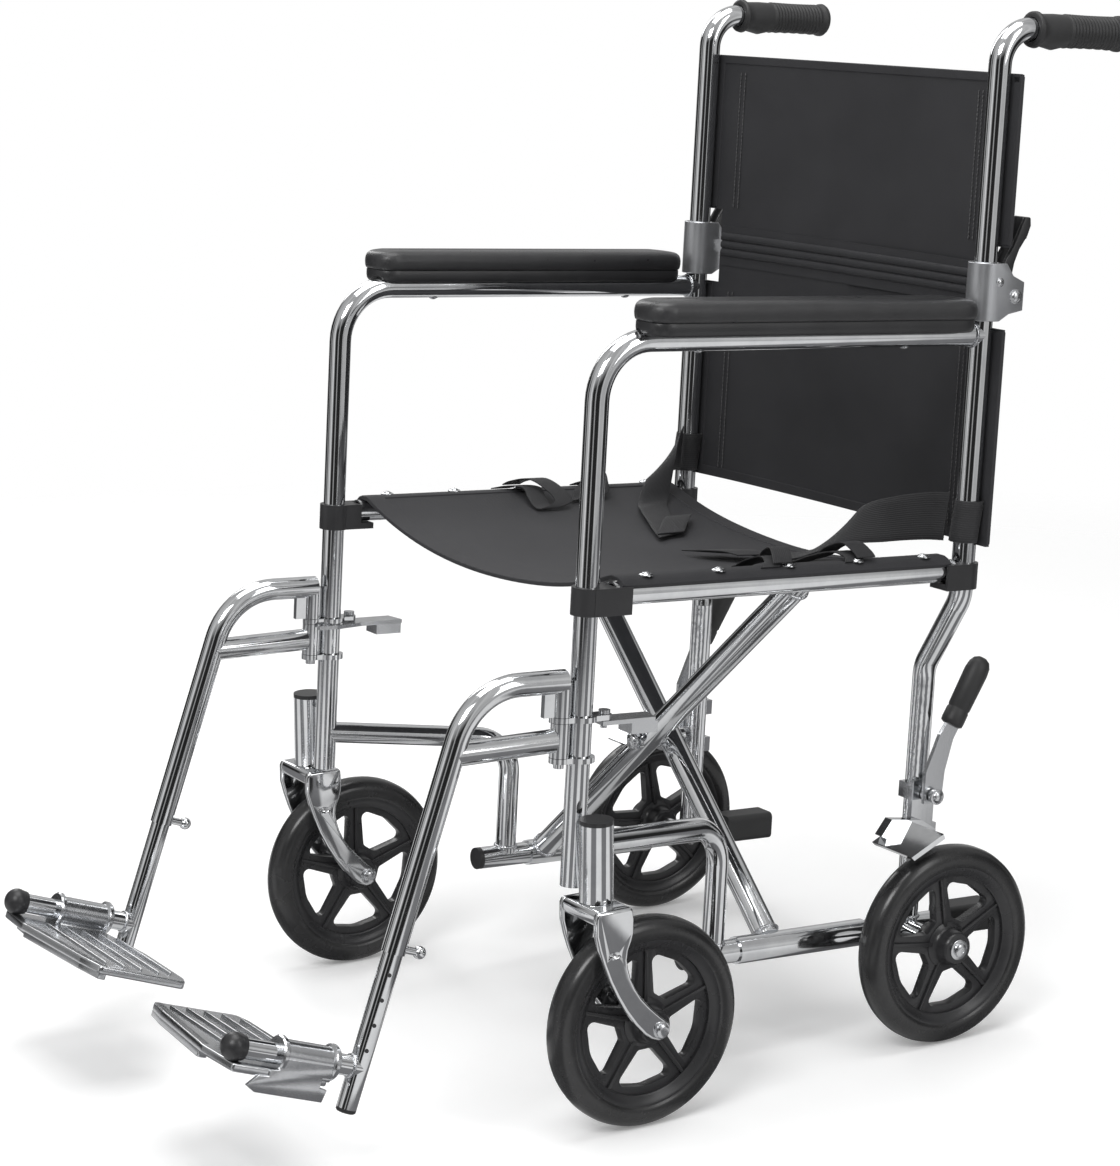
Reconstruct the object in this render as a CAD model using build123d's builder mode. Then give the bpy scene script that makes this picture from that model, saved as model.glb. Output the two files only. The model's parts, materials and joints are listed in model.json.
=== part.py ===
from build123d import *
import math
import os

os.makedirs("parts", exist_ok=True)

# Side frames are drawn upright and then leaned back about the rear axle.
lean = 3.4
rear_axle_y = 293.35

# Overall sizes: half width over the posts, depth, seat and arm heights
post_x = 239.5
post_y = -437.6
upright_y = 4.0
seat_z = 478.0
arm_z = 710.0

# Wheels
wheel_d = 203.2
tyre_w = 30.0
tyre_depth = 22.6
tyre_bore_r = wheel_d / 2 - tyre_depth
tyre_side = 13.0
rim_w = 22.0
rim_t = 8.0
rim_in_r = tyre_bore_r - rim_t
hub_r = 19.0
hub_half = 24.0
spokes = 5
spoke_root = 20.0
spoke_tip = 12.0
spoke_t = 12.0
axle_r = 4.0
running = 0.05
axle_z = wheel_d / 2

# Tubes
tube_r = 11.1
upright_r = 11.35
rail_r = 11.6
drop_r = 10.9
wall = 1.6
post_bottom = axle_z + 104.4
arm_bend = 55.0
upright_top = arm_z + 28.0
upright_bend = 34.0
jog_top = seat_z - 28.0
jog_bottom = jog_top - 78.0
jog_in = 47.0
rail_x = post_x - jog_in
rail_z = axle_z
rail_front = post_y + 167.6
rail_back = upright_y + 43.0
drop_y = post_y + 199.6
drop_z = axle_z + 129.4
drop_start_z = drop_z + 13.0
drop_bend = 40.0
wheel_x = rail_x + 64.0

# Caster
swivel_x = post_x + 37.5
swivel_y = post_y + 9.6
trail = 51.0
crown_low = wheel_d + 7.3
crown_top = crown_low + 15.5
crown_half = 19.0
housing_r = 16.0
housing_low = crown_top + 1.0
housing_high = housing_low + 73.0
stem_r = 8.0
fork_gap = 25.0
fork_t = 7.5

# Cross braces and seat
seat_front = post_y + 26.6
seat_back = upright_y - 16.0
brace_r = 12.7
sleeve_front = drop_y + 27.0
sleeve_back = upright_y - 58.0
sleeve_r = 13.6
brace_gap = 2.6
brace_a_y = sleeve_front + 17.0
brace_b_y = brace_a_y + 2 * brace_r + brace_gap
boss_r = 9.0
boss_side = 1.2
sling_t = 3.0
sling_sag = 32.0

# Arm pads
pad_x = post_x + 9.5
pad_front = post_y + 37.6
pad_back = upright_y - 25.5
pad_w = 50.0
base_low = arm_z + 4.5
base_high = base_low + 13.5
pad_high = base_high + 22.0

# Back
hinge_y = upright_y + 27.0
hinge_z = upright_top + 10.0
cane_low = upright_top + 0.5
handle_z = upright_top + 265.0
handle_end = upright_y + 143.0
cane_bend = 35.0
back_y = upright_y + 12.9
back_half = post_x + 18.5
back_top = handle_z - 43.0
back_fold = upright_top + 28.0
back_split = upright_top + 6.0
back_low = seat_z + 25.0
back_t = 2.6

# Leg rests
pin_y = post_y - 21.4
pin_r = 5.0
hanger_z = seat_z - 78.0
hanger_bend = 66.0
leg_lean = 16.6
knee_out = 95.74
foot_z = 62.0
foot_y = pin_y - knee_out - (hanger_z - foot_z) * math.tan(math.radians(leg_lean))
seam_up = 107.0
leg_overlap = 120.0
leg_below = 38.0
cross_r = 9.5
cross_len = 126.0
cap_r = 13.0
barrel_from = 28.0
barrel_to = 88.0
barrel_r = 14.0

# Brake
brake_y = upright_y + 0.7
brake_z = axle_z + 142.4
shoe_y = upright_y - 0.8
shoe_z = axle_z + 99.0

pivot_rise = (seat_z - rail_z) * rail_x / (rail_x + post_x)
pivot_z = rail_z + pivot_rise
brace_angle = math.degrees(math.atan2(seat_z - rail_z, rail_x + post_x))

LEAN = (
    Location((0, rear_axle_y, axle_z)) * Location((0, 0, 0), (-lean, 0, 0)) * Location((0, 0, -axle_z))
)
LEVEL = Location((0, rear_axle_y, 0))
LEG = LEAN * Location((post_x, foot_y, foot_z), (-leg_lean, 0, 0))


def put(built, name, where):
    solid = built.part.moved(where)
    solid.label = name
    export_step(solid, f"parts/{name}.step")


def put_pair(built, name, where):
    solid = built.part.moved(where)
    solid.label = "left_" + name
    export_step(solid, f"parts/left_{name}.step")
    other = solid.mirror(Plane.YZ)
    other.label = "right_" + name
    export_step(other, f"parts/right_{name}.step")


def pipe(points, radius, bend=0.0, mode=Mode.ADD, bore=0.0):
    with BuildLine() as path:
        if bend > 0:
            FilletPolyline(*points, radius=bend)
        else:
            Polyline(*points)
    with BuildSketch(Plane(path.line @ 0, z_dir=path.line % 0)) as ring:
        Circle(radius)
        if bore > 0:
            Circle(bore, mode=Mode.SUBTRACT)
    sweep(sections=ring.sketch, path=path.line, mode=mode)


def around(y, z, steps):
    return [(y + dy, z + dz) for dy, dz in steps]


def bar_x(x0, x1, y, z, radius, mode=Mode.ADD):
    with Locations(Location(((x0 + x1) / 2, y, z), (0, 90, 0))):
        Cylinder(radius, abs(x1 - x0), mode=mode)


def bar_y(y0, y1, x, z, radius, mode=Mode.ADD):
    with Locations(Location((x, (y0 + y1) / 2, z), (90, 0, 0))):
        Cylinder(radius, abs(y1 - y0), mode=mode)


def bar_z(z0, z1, x, y, radius, mode=Mode.ADD):
    with Locations((x, y, (z0 + z1) / 2)):
        Cylinder(radius, abs(z1 - z0), mode=mode)


def block(x0, x1, y0, y1, z0, z1, mode=Mode.ADD):
    with Locations(((x0 + x1) / 2, (y0 + y1) / 2, (z0 + z1) / 2)):
        Box(abs(x1 - x0), abs(y1 - y0), abs(z1 - z0), mode=mode)


# ---- welded side frame -------------------------------------------------
arm_path = [(post_x, post_y, post_bottom), (post_x, post_y, arm_z), (post_x, upright_y, arm_z)]
upright_path = [
    (post_x, upright_y, upright_top),
    (post_x, upright_y, jog_top),
    (rail_x, upright_y, jog_bottom),
    (rail_x, upright_y, rail_z),
]
drop_path = [
    (post_x, post_y, drop_start_z),
    (rail_x, drop_y, drop_z),
    (rail_x, drop_y, rail_z),
]
rail_path = [(rail_x, rail_front, rail_z), (rail_x, rail_back, rail_z)]
plate_t = 5.0
low_plate = hanger_z - 76.0
high_plate = hanger_z - 38.0
latch_y = post_y + 24.0
latch_x = post_x + 3.0

# The caster housing stands plumb, so its place is worked back into the leaned frame.
house_drop = math.sin(math.radians(lean))
house_y = swivel_y * math.cos(math.radians(lean)) - (housing_low - axle_z) * house_drop
house_z = axle_z + (housing_low - axle_z) * math.cos(math.radians(lean)) + swivel_y * house_drop
HOUSE = Location((swivel_x, house_y, house_z), (lean, 0, 0))
house_h = housing_high - housing_low

with BuildPart() as side_frame:
    pipe(arm_path, tube_r, arm_bend, bore=tube_r - wall)
    pipe(upright_path, upright_r, upright_bend, bore=upright_r - wall)
    pipe(drop_path, drop_r, drop_bend, bore=drop_r - wall)
    pipe(rail_path, rail_r, bore=rail_r - wall)
    with Locations(HOUSE):
        Cylinder(housing_r, house_h, align=(Align.CENTER, Align.CENTER, Align.MIN))
        with Locations((-(swivel_x - post_x) / 2, 0, house_h / 2)):
            Box(swivel_x - post_x, 9.0, house_h - 12.0)
    # axle boss on the bottom rail
    bar_x(rail_x, wheel_x - hub_half - 1.0, 0, axle_z, 9.5)
    # post brackets that carry the leg rest pins
    for plate_z in (low_plate, high_plate):
        with BuildSketch(Plane.XY.offset(plate_z)) as tongue:
            with Locations((post_x, post_y)):
                Circle(tube_r + 4.0)
            with Locations((post_x, pin_y)):
                Circle(pin_r + 4.5)
            with Locations((post_x, (post_y + pin_y) / 2)):
                Rectangle(18.0, post_y - pin_y)
        extrude(amount=plate_t)
    # latch tongue behind the post
    with BuildSketch(Plane.XY.offset(high_plate)) as tail:
        with Locations((latch_x, latch_y)):
            Circle(7.0)
        with Locations((latch_x - 1.5, (post_y + latch_y) / 2)):
            Rectangle(17.0, latch_y - post_y)
    extrude(amount=plate_t)
    # clear the end bores for the plugs
    bar_y(rail_front - 1, rail_front + 13, rail_x, rail_z, rail_r - wall, Mode.SUBTRACT)
    bar_y(rail_back - 15, rail_back + 1, rail_x, rail_z, rail_r - wall, Mode.SUBTRACT)
    bar_z(post_bottom - 1, post_bottom + 14, post_x, post_y, tube_r - wall, Mode.SUBTRACT)
    # bores
    with Locations(HOUSE):
        Cylinder(
            stem_r + running, house_h, align=(Align.CENTER, Align.CENTER, Align.MIN), mode=Mode.SUBTRACT
        )
        with Locations((0, 0, house_h - 8.0)):
            Cylinder(
                housing_r - 2.0, 8.0, align=(Align.CENTER, Align.CENTER, Align.MIN), mode=Mode.SUBTRACT
            )
    bar_x(rail_x + 2.0, wheel_x, 0, axle_z, axle_r, Mode.SUBTRACT)
    for plate_z in (low_plate, high_plate):
        bar_z(plate_z - 1, plate_z + plate_t + 1, post_x, pin_y, pin_r + running, Mode.SUBTRACT)
    bar_z(high_plate - 1, high_plate + plate_t + 1, latch_x, latch_y, 3.0, Mode.SUBTRACT)
put_pair(side_frame, "side_frame", LEAN)

with BuildPart() as frame_caps:
    with Locations(HOUSE):
        with Locations((0, 0, house_h - 5.0)):
            Cylinder(housing_r - 2.0, 5.0, align=(Align.CENTER, Align.CENTER, Align.MIN))
        with Locations((0, 0, house_h)):
            Cylinder(housing_r, 4.0, align=(Align.CENTER, Align.CENTER, Align.MIN))
    bar_y(rail_front, rail_front + 12.0, rail_x, rail_z, rail_r - wall)
    bar_y(rail_front - 5.0, rail_front, rail_x, rail_z, rail_r)
put_pair(frame_caps, "frame_caps", LEAN)

tip_len = 60.0
with BuildPart() as tip_pad:
    with Locations((rail_x, rail_back + tip_len / 2, rail_z + 2.0)):
        Box(33.0, tip_len, 30.0)
    fillet(tip_pad.edges().filter_by(Axis.Y), radius=6.0)
    bar_y(rail_back - 14.0, rail_back, rail_x, rail_z, rail_r - wall)
put_pair(tip_pad, "tip_pad", LEAN)

# ---- seat guides: saddles clipped to the post and the upright -----------
guide_low = seat_z - tube_r - 6.5
guide_high = seat_z + 8.0
with BuildPart() as seat_guides:
    bar_z(guide_low, guide_high, post_x, post_y, tube_r + 3.5)
    block(post_x - 12, post_x + 15, post_y, seat_front + 14, guide_low, guide_high)
    bar_z(guide_low, guide_high, post_x, post_y, tube_r, Mode.SUBTRACT)
    bar_z(guide_low, guide_high, post_x, upright_y, upright_r + 3.5)
    block(post_x - 12, post_x + 15, seat_back - 14, upright_y, guide_low, guide_high)
    bar_z(guide_low, guide_high, post_x, upright_y, upright_r, Mode.SUBTRACT)
    block(
        post_x - 20,
        post_x + tube_r + 0.4,
        seat_front - 0.5,
        seat_back + 0.5,
        seat_z - tube_r - 0.4,
        guide_high + 1,
        Mode.SUBTRACT,
    )
    block(post_x - 20, post_x + 20, seat_front + 14, seat_back - 14, guide_low, guide_high, Mode.SUBTRACT)
put_pair(seat_guides, "seat_guides", LEAN)

# ---- arm rests -----------------------------------------------------------
with BuildPart() as arm_base:
    with BuildSketch(Plane.XY.offset(base_low)) as base_plan:
        with Locations((pad_x, (pad_front + pad_back) / 2)):
            SlotOverall(pad_back - pad_front, pad_w, rotation=90)
    extrude(amount=base_high - base_low)
    bar_y(pad_front - 5, pad_back + 5, post_x, arm_z, tube_r, Mode.SUBTRACT)
    block(
        post_x - tube_r, post_x + tube_r, pad_front - 5, pad_back + 5, base_low - 1, base_low + 0.2,
        Mode.SUBTRACT,
    )
put_pair(arm_base, "arm_base", LEAN)

with BuildPart() as arm_pad:
    with BuildSketch(Plane.XY.offset(base_high)) as pad_plan:
        with Locations((pad_x, (pad_front + pad_back) / 2)):
            SlotOverall(pad_back - pad_front + 3, pad_w + 3, rotation=90)
    extrude(amount=pad_high - base_high)
    fillet(arm_pad.faces().sort_by(Axis.Z)[-1].edges(), radius=9.0)
put_pair(arm_pad, "arm_pad", LEAN)


# ---- wheels ----------------------------------------------------------------
def tyre_at(x, y):
    half = tyre_w / 2
    top_r = wheel_d / 2
    with BuildSketch(Plane.XY) as profile:
        with BuildLine():
            Polyline(
                (x - rim_w / 2, tyre_bore_r), (x - half, tyre_bore_r + 5), (x - half, top_r - tyre_side)
            )
            Spline(
                (x - half, top_r - tyre_side), (x, top_r), (x + half, top_r - tyre_side),
                tangents=((0, 1), (0, -1)),
            )
            Polyline(
                (x + half, top_r - tyre_side), (x + half, tyre_bore_r + 5),
                (x + rim_w / 2, tyre_bore_r), (x - rim_w / 2, tyre_bore_r),
            )
        make_face()
    spun = revolve(profile.sketch, axis=Axis.X, mode=Mode.PRIVATE)
    add(spun.moved(Location((0, y, axle_z))))


def rim_at(x, y):
    bar_x(x - rim_w / 2, x + rim_w / 2, y, axle_z, tyre_bore_r)
    bar_x(x - rim_w / 2 - 1, x + rim_w / 2 + 1, y, axle_z, rim_in_r, Mode.SUBTRACT)
    reach = rim_in_r + 3.0
    with BuildSketch(Plane.YZ.offset(x - spoke_t / 2)) as arms:
        for n in range(spokes):
            turn = 360.0 / spokes * n + 90.0
            with Locations(Location((y, axle_z, 0), (0, 0, turn))):
                Polygon(
                    (0, -spoke_root / 2), (reach, -spoke_tip / 2), (reach, spoke_tip / 2),
                    (0, spoke_root / 2), align=None,
                )
    extrude(arms.sketch, amount=spoke_t)
    bar_x(x - hub_half, x + hub_half, y, axle_z, hub_r)
    bar_x(x - hub_half - 1, x + hub_half + 1, y, axle_z, axle_r + running, Mode.SUBTRACT)


with BuildPart() as rear_tyre:
    tyre_at(wheel_x, 0)
put_pair(rear_tyre, "rear_tyre", LEVEL)

with BuildPart() as rear_rim:
    rim_at(wheel_x, 0)
put_pair(rear_rim, "rear_rim", LEVEL)

with BuildPart() as rear_axle:
    bar_x(rail_x + 3.0, wheel_x + hub_half + 1.0, 0, axle_z, axle_r)
    bar_x(wheel_x + hub_half + 0.4, wheel_x + hub_half + 2.0, 0, axle_z, 9.0)
    bar_x(wheel_x + hub_half + 2.0, wheel_x + hub_half + 6.5, 0, axle_z, 6.5)
put_pair(rear_axle, "rear_axle", LEVEL)

wheel_y = swivel_y + trail
with BuildPart() as caster_tyre:
    tyre_at(swivel_x, wheel_y)
put_pair(caster_tyre, "caster_tyre", LEVEL)

with BuildPart() as caster_rim:
    rim_at(swivel_x, wheel_y)
put_pair(caster_rim, "caster_rim", LEVEL)

with BuildPart() as caster_fork:
    with BuildSketch(Plane.YZ.offset(swivel_x + fork_gap)) as blade:
        with BuildLine():
            Line((swivel_y - crown_half, crown_top), (swivel_y + crown_half, crown_top))
            Spline(
                (swivel_y + crown_half, crown_top), (swivel_y + 24, crown_top - 48),
                (wheel_y + 10, axle_z + 5),
                tangents=((0, -1), (0.75, -1)),
            )
            ThreePointArc(
                (wheel_y + 10, axle_z + 5), (wheel_y + 7.5, axle_z - 8.5), (wheel_y - 6, axle_z - 9.5)
            )
            Spline(
                (wheel_y - 6, axle_z - 9.5), (swivel_y + 3, axle_z + 43.4),
                (swivel_y - crown_half, crown_top),
                tangents=((-1, 0.75), (0, 1)),
            )
        make_face()
    extrude(blade.sketch, amount=fork_t)
    mirror(about=Plane.YZ.offset(swivel_x))
    block(
        swivel_x - fork_gap - 1, swivel_x + fork_gap + 1, swivel_y - crown_half, swivel_y + crown_half,
        crown_low, crown_top,
    )
    fillet(caster_fork.edges().filter_by(Axis.Y).group_by(Axis.Z)[-1], radius=6.0)
    bar_z(crown_top - 2, housing_high - 11.0, swivel_x, swivel_y, stem_r)
    bar_x(swivel_x - 50, swivel_x + 50, wheel_y, axle_z, axle_r, Mode.SUBTRACT)
put_pair(caster_fork, "caster_fork", LEVEL)

axle_half = fork_gap + fork_t
with BuildPart() as caster_axle:
    bar_x(swivel_x - axle_half, swivel_x + axle_half, wheel_y, axle_z, axle_r)
    bar_x(swivel_x + axle_half, swivel_x + axle_half + 5.0, wheel_y, axle_z, 7.0)
    bar_x(swivel_x - axle_half - 5.0, swivel_x - axle_half, wheel_y, axle_z, 7.0)
put_pair(caster_axle, "caster_axle", LEVEL)


# ---- cross braces with the seat rails ---------------------------------------
def brace(side, y):
    low = (-side * rail_x, y, rail_z)
    high = (side * post_x, y, seat_z)
    spread = math.radians(brace_angle)
    reach = sleeve_r - 3.0
    foot = (low[0] + side * reach * math.cos(spread), y, low[2] + reach * math.sin(spread))
    bar_y(seat_front, seat_back, side * post_x, seat_z, tube_r)
    pipe([foot, high], brace_r)
    bar_y(sleeve_front, sleeve_back, -side * rail_x, rail_z, sleeve_r)
    bar_y(y - brace_r - boss_side, y + brace_r + boss_side, 0, pivot_z, boss_r)
    start = sleeve_r + 6.0
    inner = (low[0] + side * start * math.cos(spread), y, low[2] + start * math.sin(spread))
    pipe([inner, high], brace_r - wall, 0.0, Mode.SUBTRACT)
    bar_y(seat_front, seat_back, side * post_x, seat_z, tube_r - wall, Mode.SUBTRACT)
    bar_y(sleeve_front, sleeve_back, -side * rail_x, rail_z, rail_r + running, Mode.SUBTRACT)
    bar_y(y - brace_r - boss_side, y + brace_r + boss_side, 0, pivot_z, boss_r)
    bar_y(y - 30, y + 30, 0, pivot_z, axle_r + running, Mode.SUBTRACT)


with BuildPart() as brace_a:
    brace(1, brace_a_y)
put(brace_a, "brace_a", LEAN)

with BuildPart() as brace_b:
    brace(-1, brace_b_y)
put(brace_b, "brace_b", LEAN)

bolt_front = brace_a_y - brace_r - boss_side - 0.3
bolt_back = brace_b_y + brace_r + boss_side
with BuildPart() as brace_bolt:
    bar_y(bolt_front, bolt_back, 0, pivot_z, axle_r)
    bar_y(bolt_front - 5.0, bolt_front, 0, pivot_z, 8.0)
    bar_y(bolt_back, bolt_back + 6.0, 0, pivot_z, 8.0)
put(brace_bolt, "brace_bolt", LEAN)

sling_z = seat_z + tube_r + 0.5
sling_half = post_x + 11.0
flat_half = post_x - 11.0
with BuildPart() as seat_sling:
    with BuildSketch(Plane.XZ) as cloth:
        with BuildLine():
            Line((-sling_half, sling_z), (-flat_half, sling_z))
            ThreePointArc((-flat_half, sling_z), (0, sling_z - sling_sag), (flat_half, sling_z))
            Line((flat_half, sling_z), (sling_half, sling_z))
            Line((sling_half, sling_z), (sling_half, sling_z + sling_t))
            Line((sling_half, sling_z + sling_t), (flat_half, sling_z + sling_t))
            ThreePointArc(
                (flat_half, sling_z + sling_t), (0, sling_z - sling_sag + sling_t),
                (-flat_half, sling_z + sling_t),
            )
            Line((-flat_half, sling_z + sling_t), (-sling_half, sling_z + sling_t))
            Line((-sling_half, sling_z + sling_t), (-sling_half, sling_z))
        make_face()
    extrude(cloth.sketch.moved(Location((0, seat_back - 8, 0))), amount=seat_back - seat_front - 14)
put(seat_sling, "seat_sling", LEAN)


# ---- back --------------------------------------------------------------------
def back_cloth(z0, z1, notch0, notch1):
    block(-back_half, back_half, back_y, back_y + back_t, z0, z1)
    for side in (-1, 1):
        block(
            side * (post_x - 24), side * (back_half + 1), back_y - 1, back_y + back_t + 1, notch0, notch1,
            Mode.SUBTRACT,
        )


with BuildPart() as back_upper:
    back_cloth(back_fold, back_top, back_fold - 1, back_fold + 29.0)
put(back_upper, "back_upper", LEAN)

with BuildPart() as back_lower:
    back_cloth(back_low, back_split, back_split - 28.0, back_split + 1)
put(back_lower, "back_lower", LEAN)

cane_path = [
    (post_x, upright_y, cane_low),
    (post_x, upright_y, handle_z),
    (post_x, handle_end, handle_z),
]
ear_half = 4.0
with BuildPart() as back_cane:
    pipe(cane_path, tube_r, cane_bend)
    block(
        post_x - ear_half, post_x + ear_half, upright_y + 5, hinge_y, hinge_z - 7, hinge_z + 32
    )
    bar_x(post_x - ear_half, post_x + ear_half, hinge_y, hinge_z, 8.5)
    pipe(cane_path, tube_r - wall, cane_bend, Mode.SUBTRACT)
    bar_x(post_x - 20, post_x + 20, hinge_y, hinge_z, axle_r + running, Mode.SUBTRACT)
put_pair(back_cane, "back_cane", LEAN)

grip_from = upright_y + cane_bend + 0.5
grip_to = handle_end + 7.0
with BuildPart() as hand_grip:
    bar_y(grip_from, grip_to, post_x, handle_z, 15.5)
    bar_y(grip_from, grip_from + 6.0, post_x, handle_z, 17.5)
    bar_y(grip_to - 8.0, grip_to, post_x, handle_z, 17.5)
    bar_y(grip_from, handle_end, post_x, handle_z, tube_r, Mode.SUBTRACT)
put_pair(hand_grip, "hand_grip", LEAN)

cheek = 14.0
sheet_t = 2.5
with BuildPart() as hinge_bracket:
    with BuildSketch(Plane.YZ.offset(post_x - cheek)) as side_plan:
        Polygon(
            *around(
                upright_y, upright_top, [(-22, -2), (10, -2), (36, 3), (36, 19), (24, 43), (-22, 43)]
            ),
            align=None,
        )
    extrude(side_plan.sketch, amount=2 * cheek)
    block(
        post_x - cheek + sheet_t, post_x + cheek - sheet_t, upright_y - 22 + sheet_t, upright_y + 41,
        upright_top - 3, upright_top + 44, Mode.SUBTRACT,
    )
    bar_z(upright_top - 16, upright_top - 0.5, post_x, upright_y, upright_r + 3.0)
    block(
        post_x - cheek, post_x + cheek, upright_y - 22, upright_y + 2, upright_top - 7, upright_top - 0.5
    )
    bar_z(upright_top - 38, upright_top + 7, post_x, upright_y, upright_r, Mode.SUBTRACT)
    bar_x(post_x - cheek - 4, post_x + cheek + 4, hinge_y, hinge_z, axle_r)
    bar_x(post_x - cheek - 4, post_x - cheek, hinge_y, hinge_z, 7.0)
    bar_x(post_x + cheek, post_x + cheek + 4, hinge_y, hinge_z, 7.0)
put_pair(hinge_bracket, "hinge_bracket", LEAN)

paddle_line = around(
    upright_y, upright_top,
    [(15, 26), (26, 26), (29, 42), (43, 74), (45, 86), (39, 87), (29, 62), (17, 44), (15, 26)],
)
with BuildPart() as release_lever:
    with BuildSketch(Plane.YZ.offset(post_x + ear_half + 0.4)) as paddle:
        with BuildLine():
            Polyline(*paddle_line)
        make_face()
    extrude(paddle.sketch, amount=5.0)
    mirror(about=Plane.YZ.offset(post_x))
    block(
        post_x - ear_half - 5.4, post_x + ear_half + 5.4, upright_y + 30.5, upright_y + 42,
        upright_top + 62, upright_top + 86,
    )
put_pair(release_lever, "release_lever", LEAN)

# ---- brake ---------------------------------------------------------------------
plate_x = rail_x + upright_r
bolt_out = 22.0
with BuildPart() as brake_bracket:
    block(plate_x - 2, plate_x + 4, upright_y - 16, upright_y + 12, shoe_z - 10.6, brake_z + 14)
    for strap_z in (shoe_z + 3.4, brake_z + 2.0):
        block(rail_x - 6, plate_x + 4, upright_y - 17, upright_y + 17, strap_z - 8, strap_z + 8)
    bar_z(shoe_z - 20, brake_z + 26, rail_x, upright_y, upright_r, Mode.SUBTRACT)
    for bolt_y, bolt_z in ((brake_y, brake_z), (shoe_y, shoe_z)):
        bar_x(plate_x, plate_x + bolt_out, bolt_y, bolt_z, axle_r)
        bar_x(plate_x + bolt_out - 5, plate_x + bolt_out, bolt_y, bolt_z, 7.0)
put_pair(brake_bracket, "brake_bracket", LEAN)

lever_in = plate_x + 10.5
lever_t = 4.5
lever_line = around(
    brake_y, brake_z,
    [
        (-10.7, -8), (11.3, -8), (13.3, 24), (21.3, 56), (49.3, 108), (39.3, 113), (4.3, 62),
        (-10.7, 24), (-10.7, -8),
    ],
)
with BuildPart() as brake_lever:
    with BuildSketch(Plane.YZ.offset(lever_in)) as strap:
        with BuildLine():
            Polyline(*lever_line)
        make_face()
    extrude(strap.sketch, amount=lever_t)
    bar_x(lever_in - 5.5, lever_in, brake_y, brake_z, 8.0)
    bar_x(lever_in - 10, lever_in + 10, brake_y, brake_z, axle_r + running, Mode.SUBTRACT)
put_pair(brake_lever, "brake_lever", LEAN)

knob_r = 12.5
grip_low = (lever_in + lever_t / 2, brake_y + 13.8, brake_z + 62)
grip_high = (lever_in + lever_t / 2, brake_y + 48.3, brake_z + 126)
with BuildPart() as brake_grip:
    pipe([grip_low, grip_high], knob_r)
    with Locations(grip_low, grip_high):
        Sphere(knob_r)
    with BuildSketch(Plane.YZ.offset(lever_in)) as hollow:
        with BuildLine():
            Polyline(*lever_line)
        make_face()
    extrude(hollow.sketch, amount=lever_t, mode=Mode.SUBTRACT)
put_pair(brake_grip, "brake_grip", LEAN)

shoe_in = plate_x + 5.0
shoe_t = 11.0
shoe_line = around(
    shoe_y, shoe_z,
    [
        (7.8, -8.6), (7.8, 8.4), (-11.2, 19.4), (-49.2, 23.4), (-61.2, 7.4), (-33.2, -4.6),
        (-9.2, -8.6), (7.8, -8.6),
    ],
)
shoe_face = around(shoe_y, shoe_z, [(-64.2, -0.6), (-60.2, -4.1), (-23.2, 14.4), (-25.2, 19.4)])
with BuildPart() as brake_shoe:
    with BuildSketch(Plane.YZ.offset(shoe_in)) as link:
        with BuildLine():
            Polyline(*shoe_line)
        make_face()
    extrude(link.sketch, amount=shoe_t)
    with BuildSketch(Plane.YZ.offset(shoe_in)) as pad_side:
        Polygon(*shoe_face, align=None)
    extrude(pad_side.sketch, amount=wheel_x + 15 - shoe_in)
    bar_x(shoe_in - 1, shoe_in + 20, shoe_y, shoe_z, axle_r + running, Mode.SUBTRACT)
put_pair(brake_shoe, "brake_shoe", LEAN)

# ---- leg rests --------------------------------------------------------------------
leg_sin = math.sin(math.radians(leg_lean))
leg_cos = math.cos(math.radians(leg_lean))


def on_leg(up, out=0.0):
    return (post_x, foot_y + up * leg_sin - out * leg_cos, foot_z + up * leg_cos + out * leg_sin)


knee_up = (hanger_z - foot_z) / leg_cos
stub_up = (hanger_z - 59.0 - foot_z) / leg_cos
hanger_path = [on_leg(seam_up), on_leg(knee_up), (post_x, pin_y + 2.0, hanger_z)]
stub_path = [on_leg(stub_up), (post_x, pin_y - 8.0, hanger_z - 55.0)]
boss_pin_r = 9.3
screw_up = seam_up + 4.5
screw_head = on_leg(screw_up, -27.0)
low_face = low_plate + plate_t + 0.4
high_face = high_plate + plate_t + 0.4
with BuildPart() as hanger:
    pipe(hanger_path, tube_r, hanger_bend)
    pipe(stub_path, tube_r)
    bar_z(low_face, high_plate - 0.4, post_x, pin_y, boss_pin_r)
    bar_z(high_face, hanger_z, post_x, pin_y, boss_pin_r)
    bar_z(low_plate - 5, hanger_z - 3, post_x, pin_y, pin_r)
    block(post_x - 3, post_x + 3, pin_y - 20, pin_y, high_face, hanger_z)
    pipe([on_leg(screw_up, -10.0), screw_head], 3.6)
    with Locations(screw_head):
        Sphere(6.2)
    hollow_path = [on_leg(seam_up - 1), on_leg(knee_up), (post_x, pin_y - 8.0, hanger_z)]
    pipe(hollow_path, tube_r - wall, hanger_bend, Mode.SUBTRACT)
put_pair(hanger, "hanger", LEAN)

with BuildPart() as hanger_latch:
    with BuildSketch(Plane.XY.offset(high_plate - 0.4)) as hook:
        with BuildLine():
            Polyline(
                (latch_x + 8, latch_y - 6), (latch_x + 8, latch_y + 52), (latch_x - 14, latch_y + 56),
                (latch_x - 16, latch_y + 6), (post_x - 20, post_y - 2), (post_x - 19, post_y - 22),
                (post_x - 15.5, post_y - 22), (post_x - 15.5, post_y + 4), (latch_x - 9, latch_y - 6),
                (latch_x + 8, latch_y - 6),
            )
        make_face()
    extrude(hook.sketch, amount=-4.0)
    bar_z(high_plate - 8, high_plate + plate_t + 4, latch_x, latch_y, 3.0)
    bar_z(high_plate + plate_t + 0.4, high_plate + plate_t + 4, latch_x, latch_y, 5.5)
    block(latch_x - 14, latch_x + 8, latch_y + 26, latch_y + 55, high_plate - 15, high_plate - 4)
put_pair(hanger_latch, "hanger_latch", LEAN)

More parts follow.
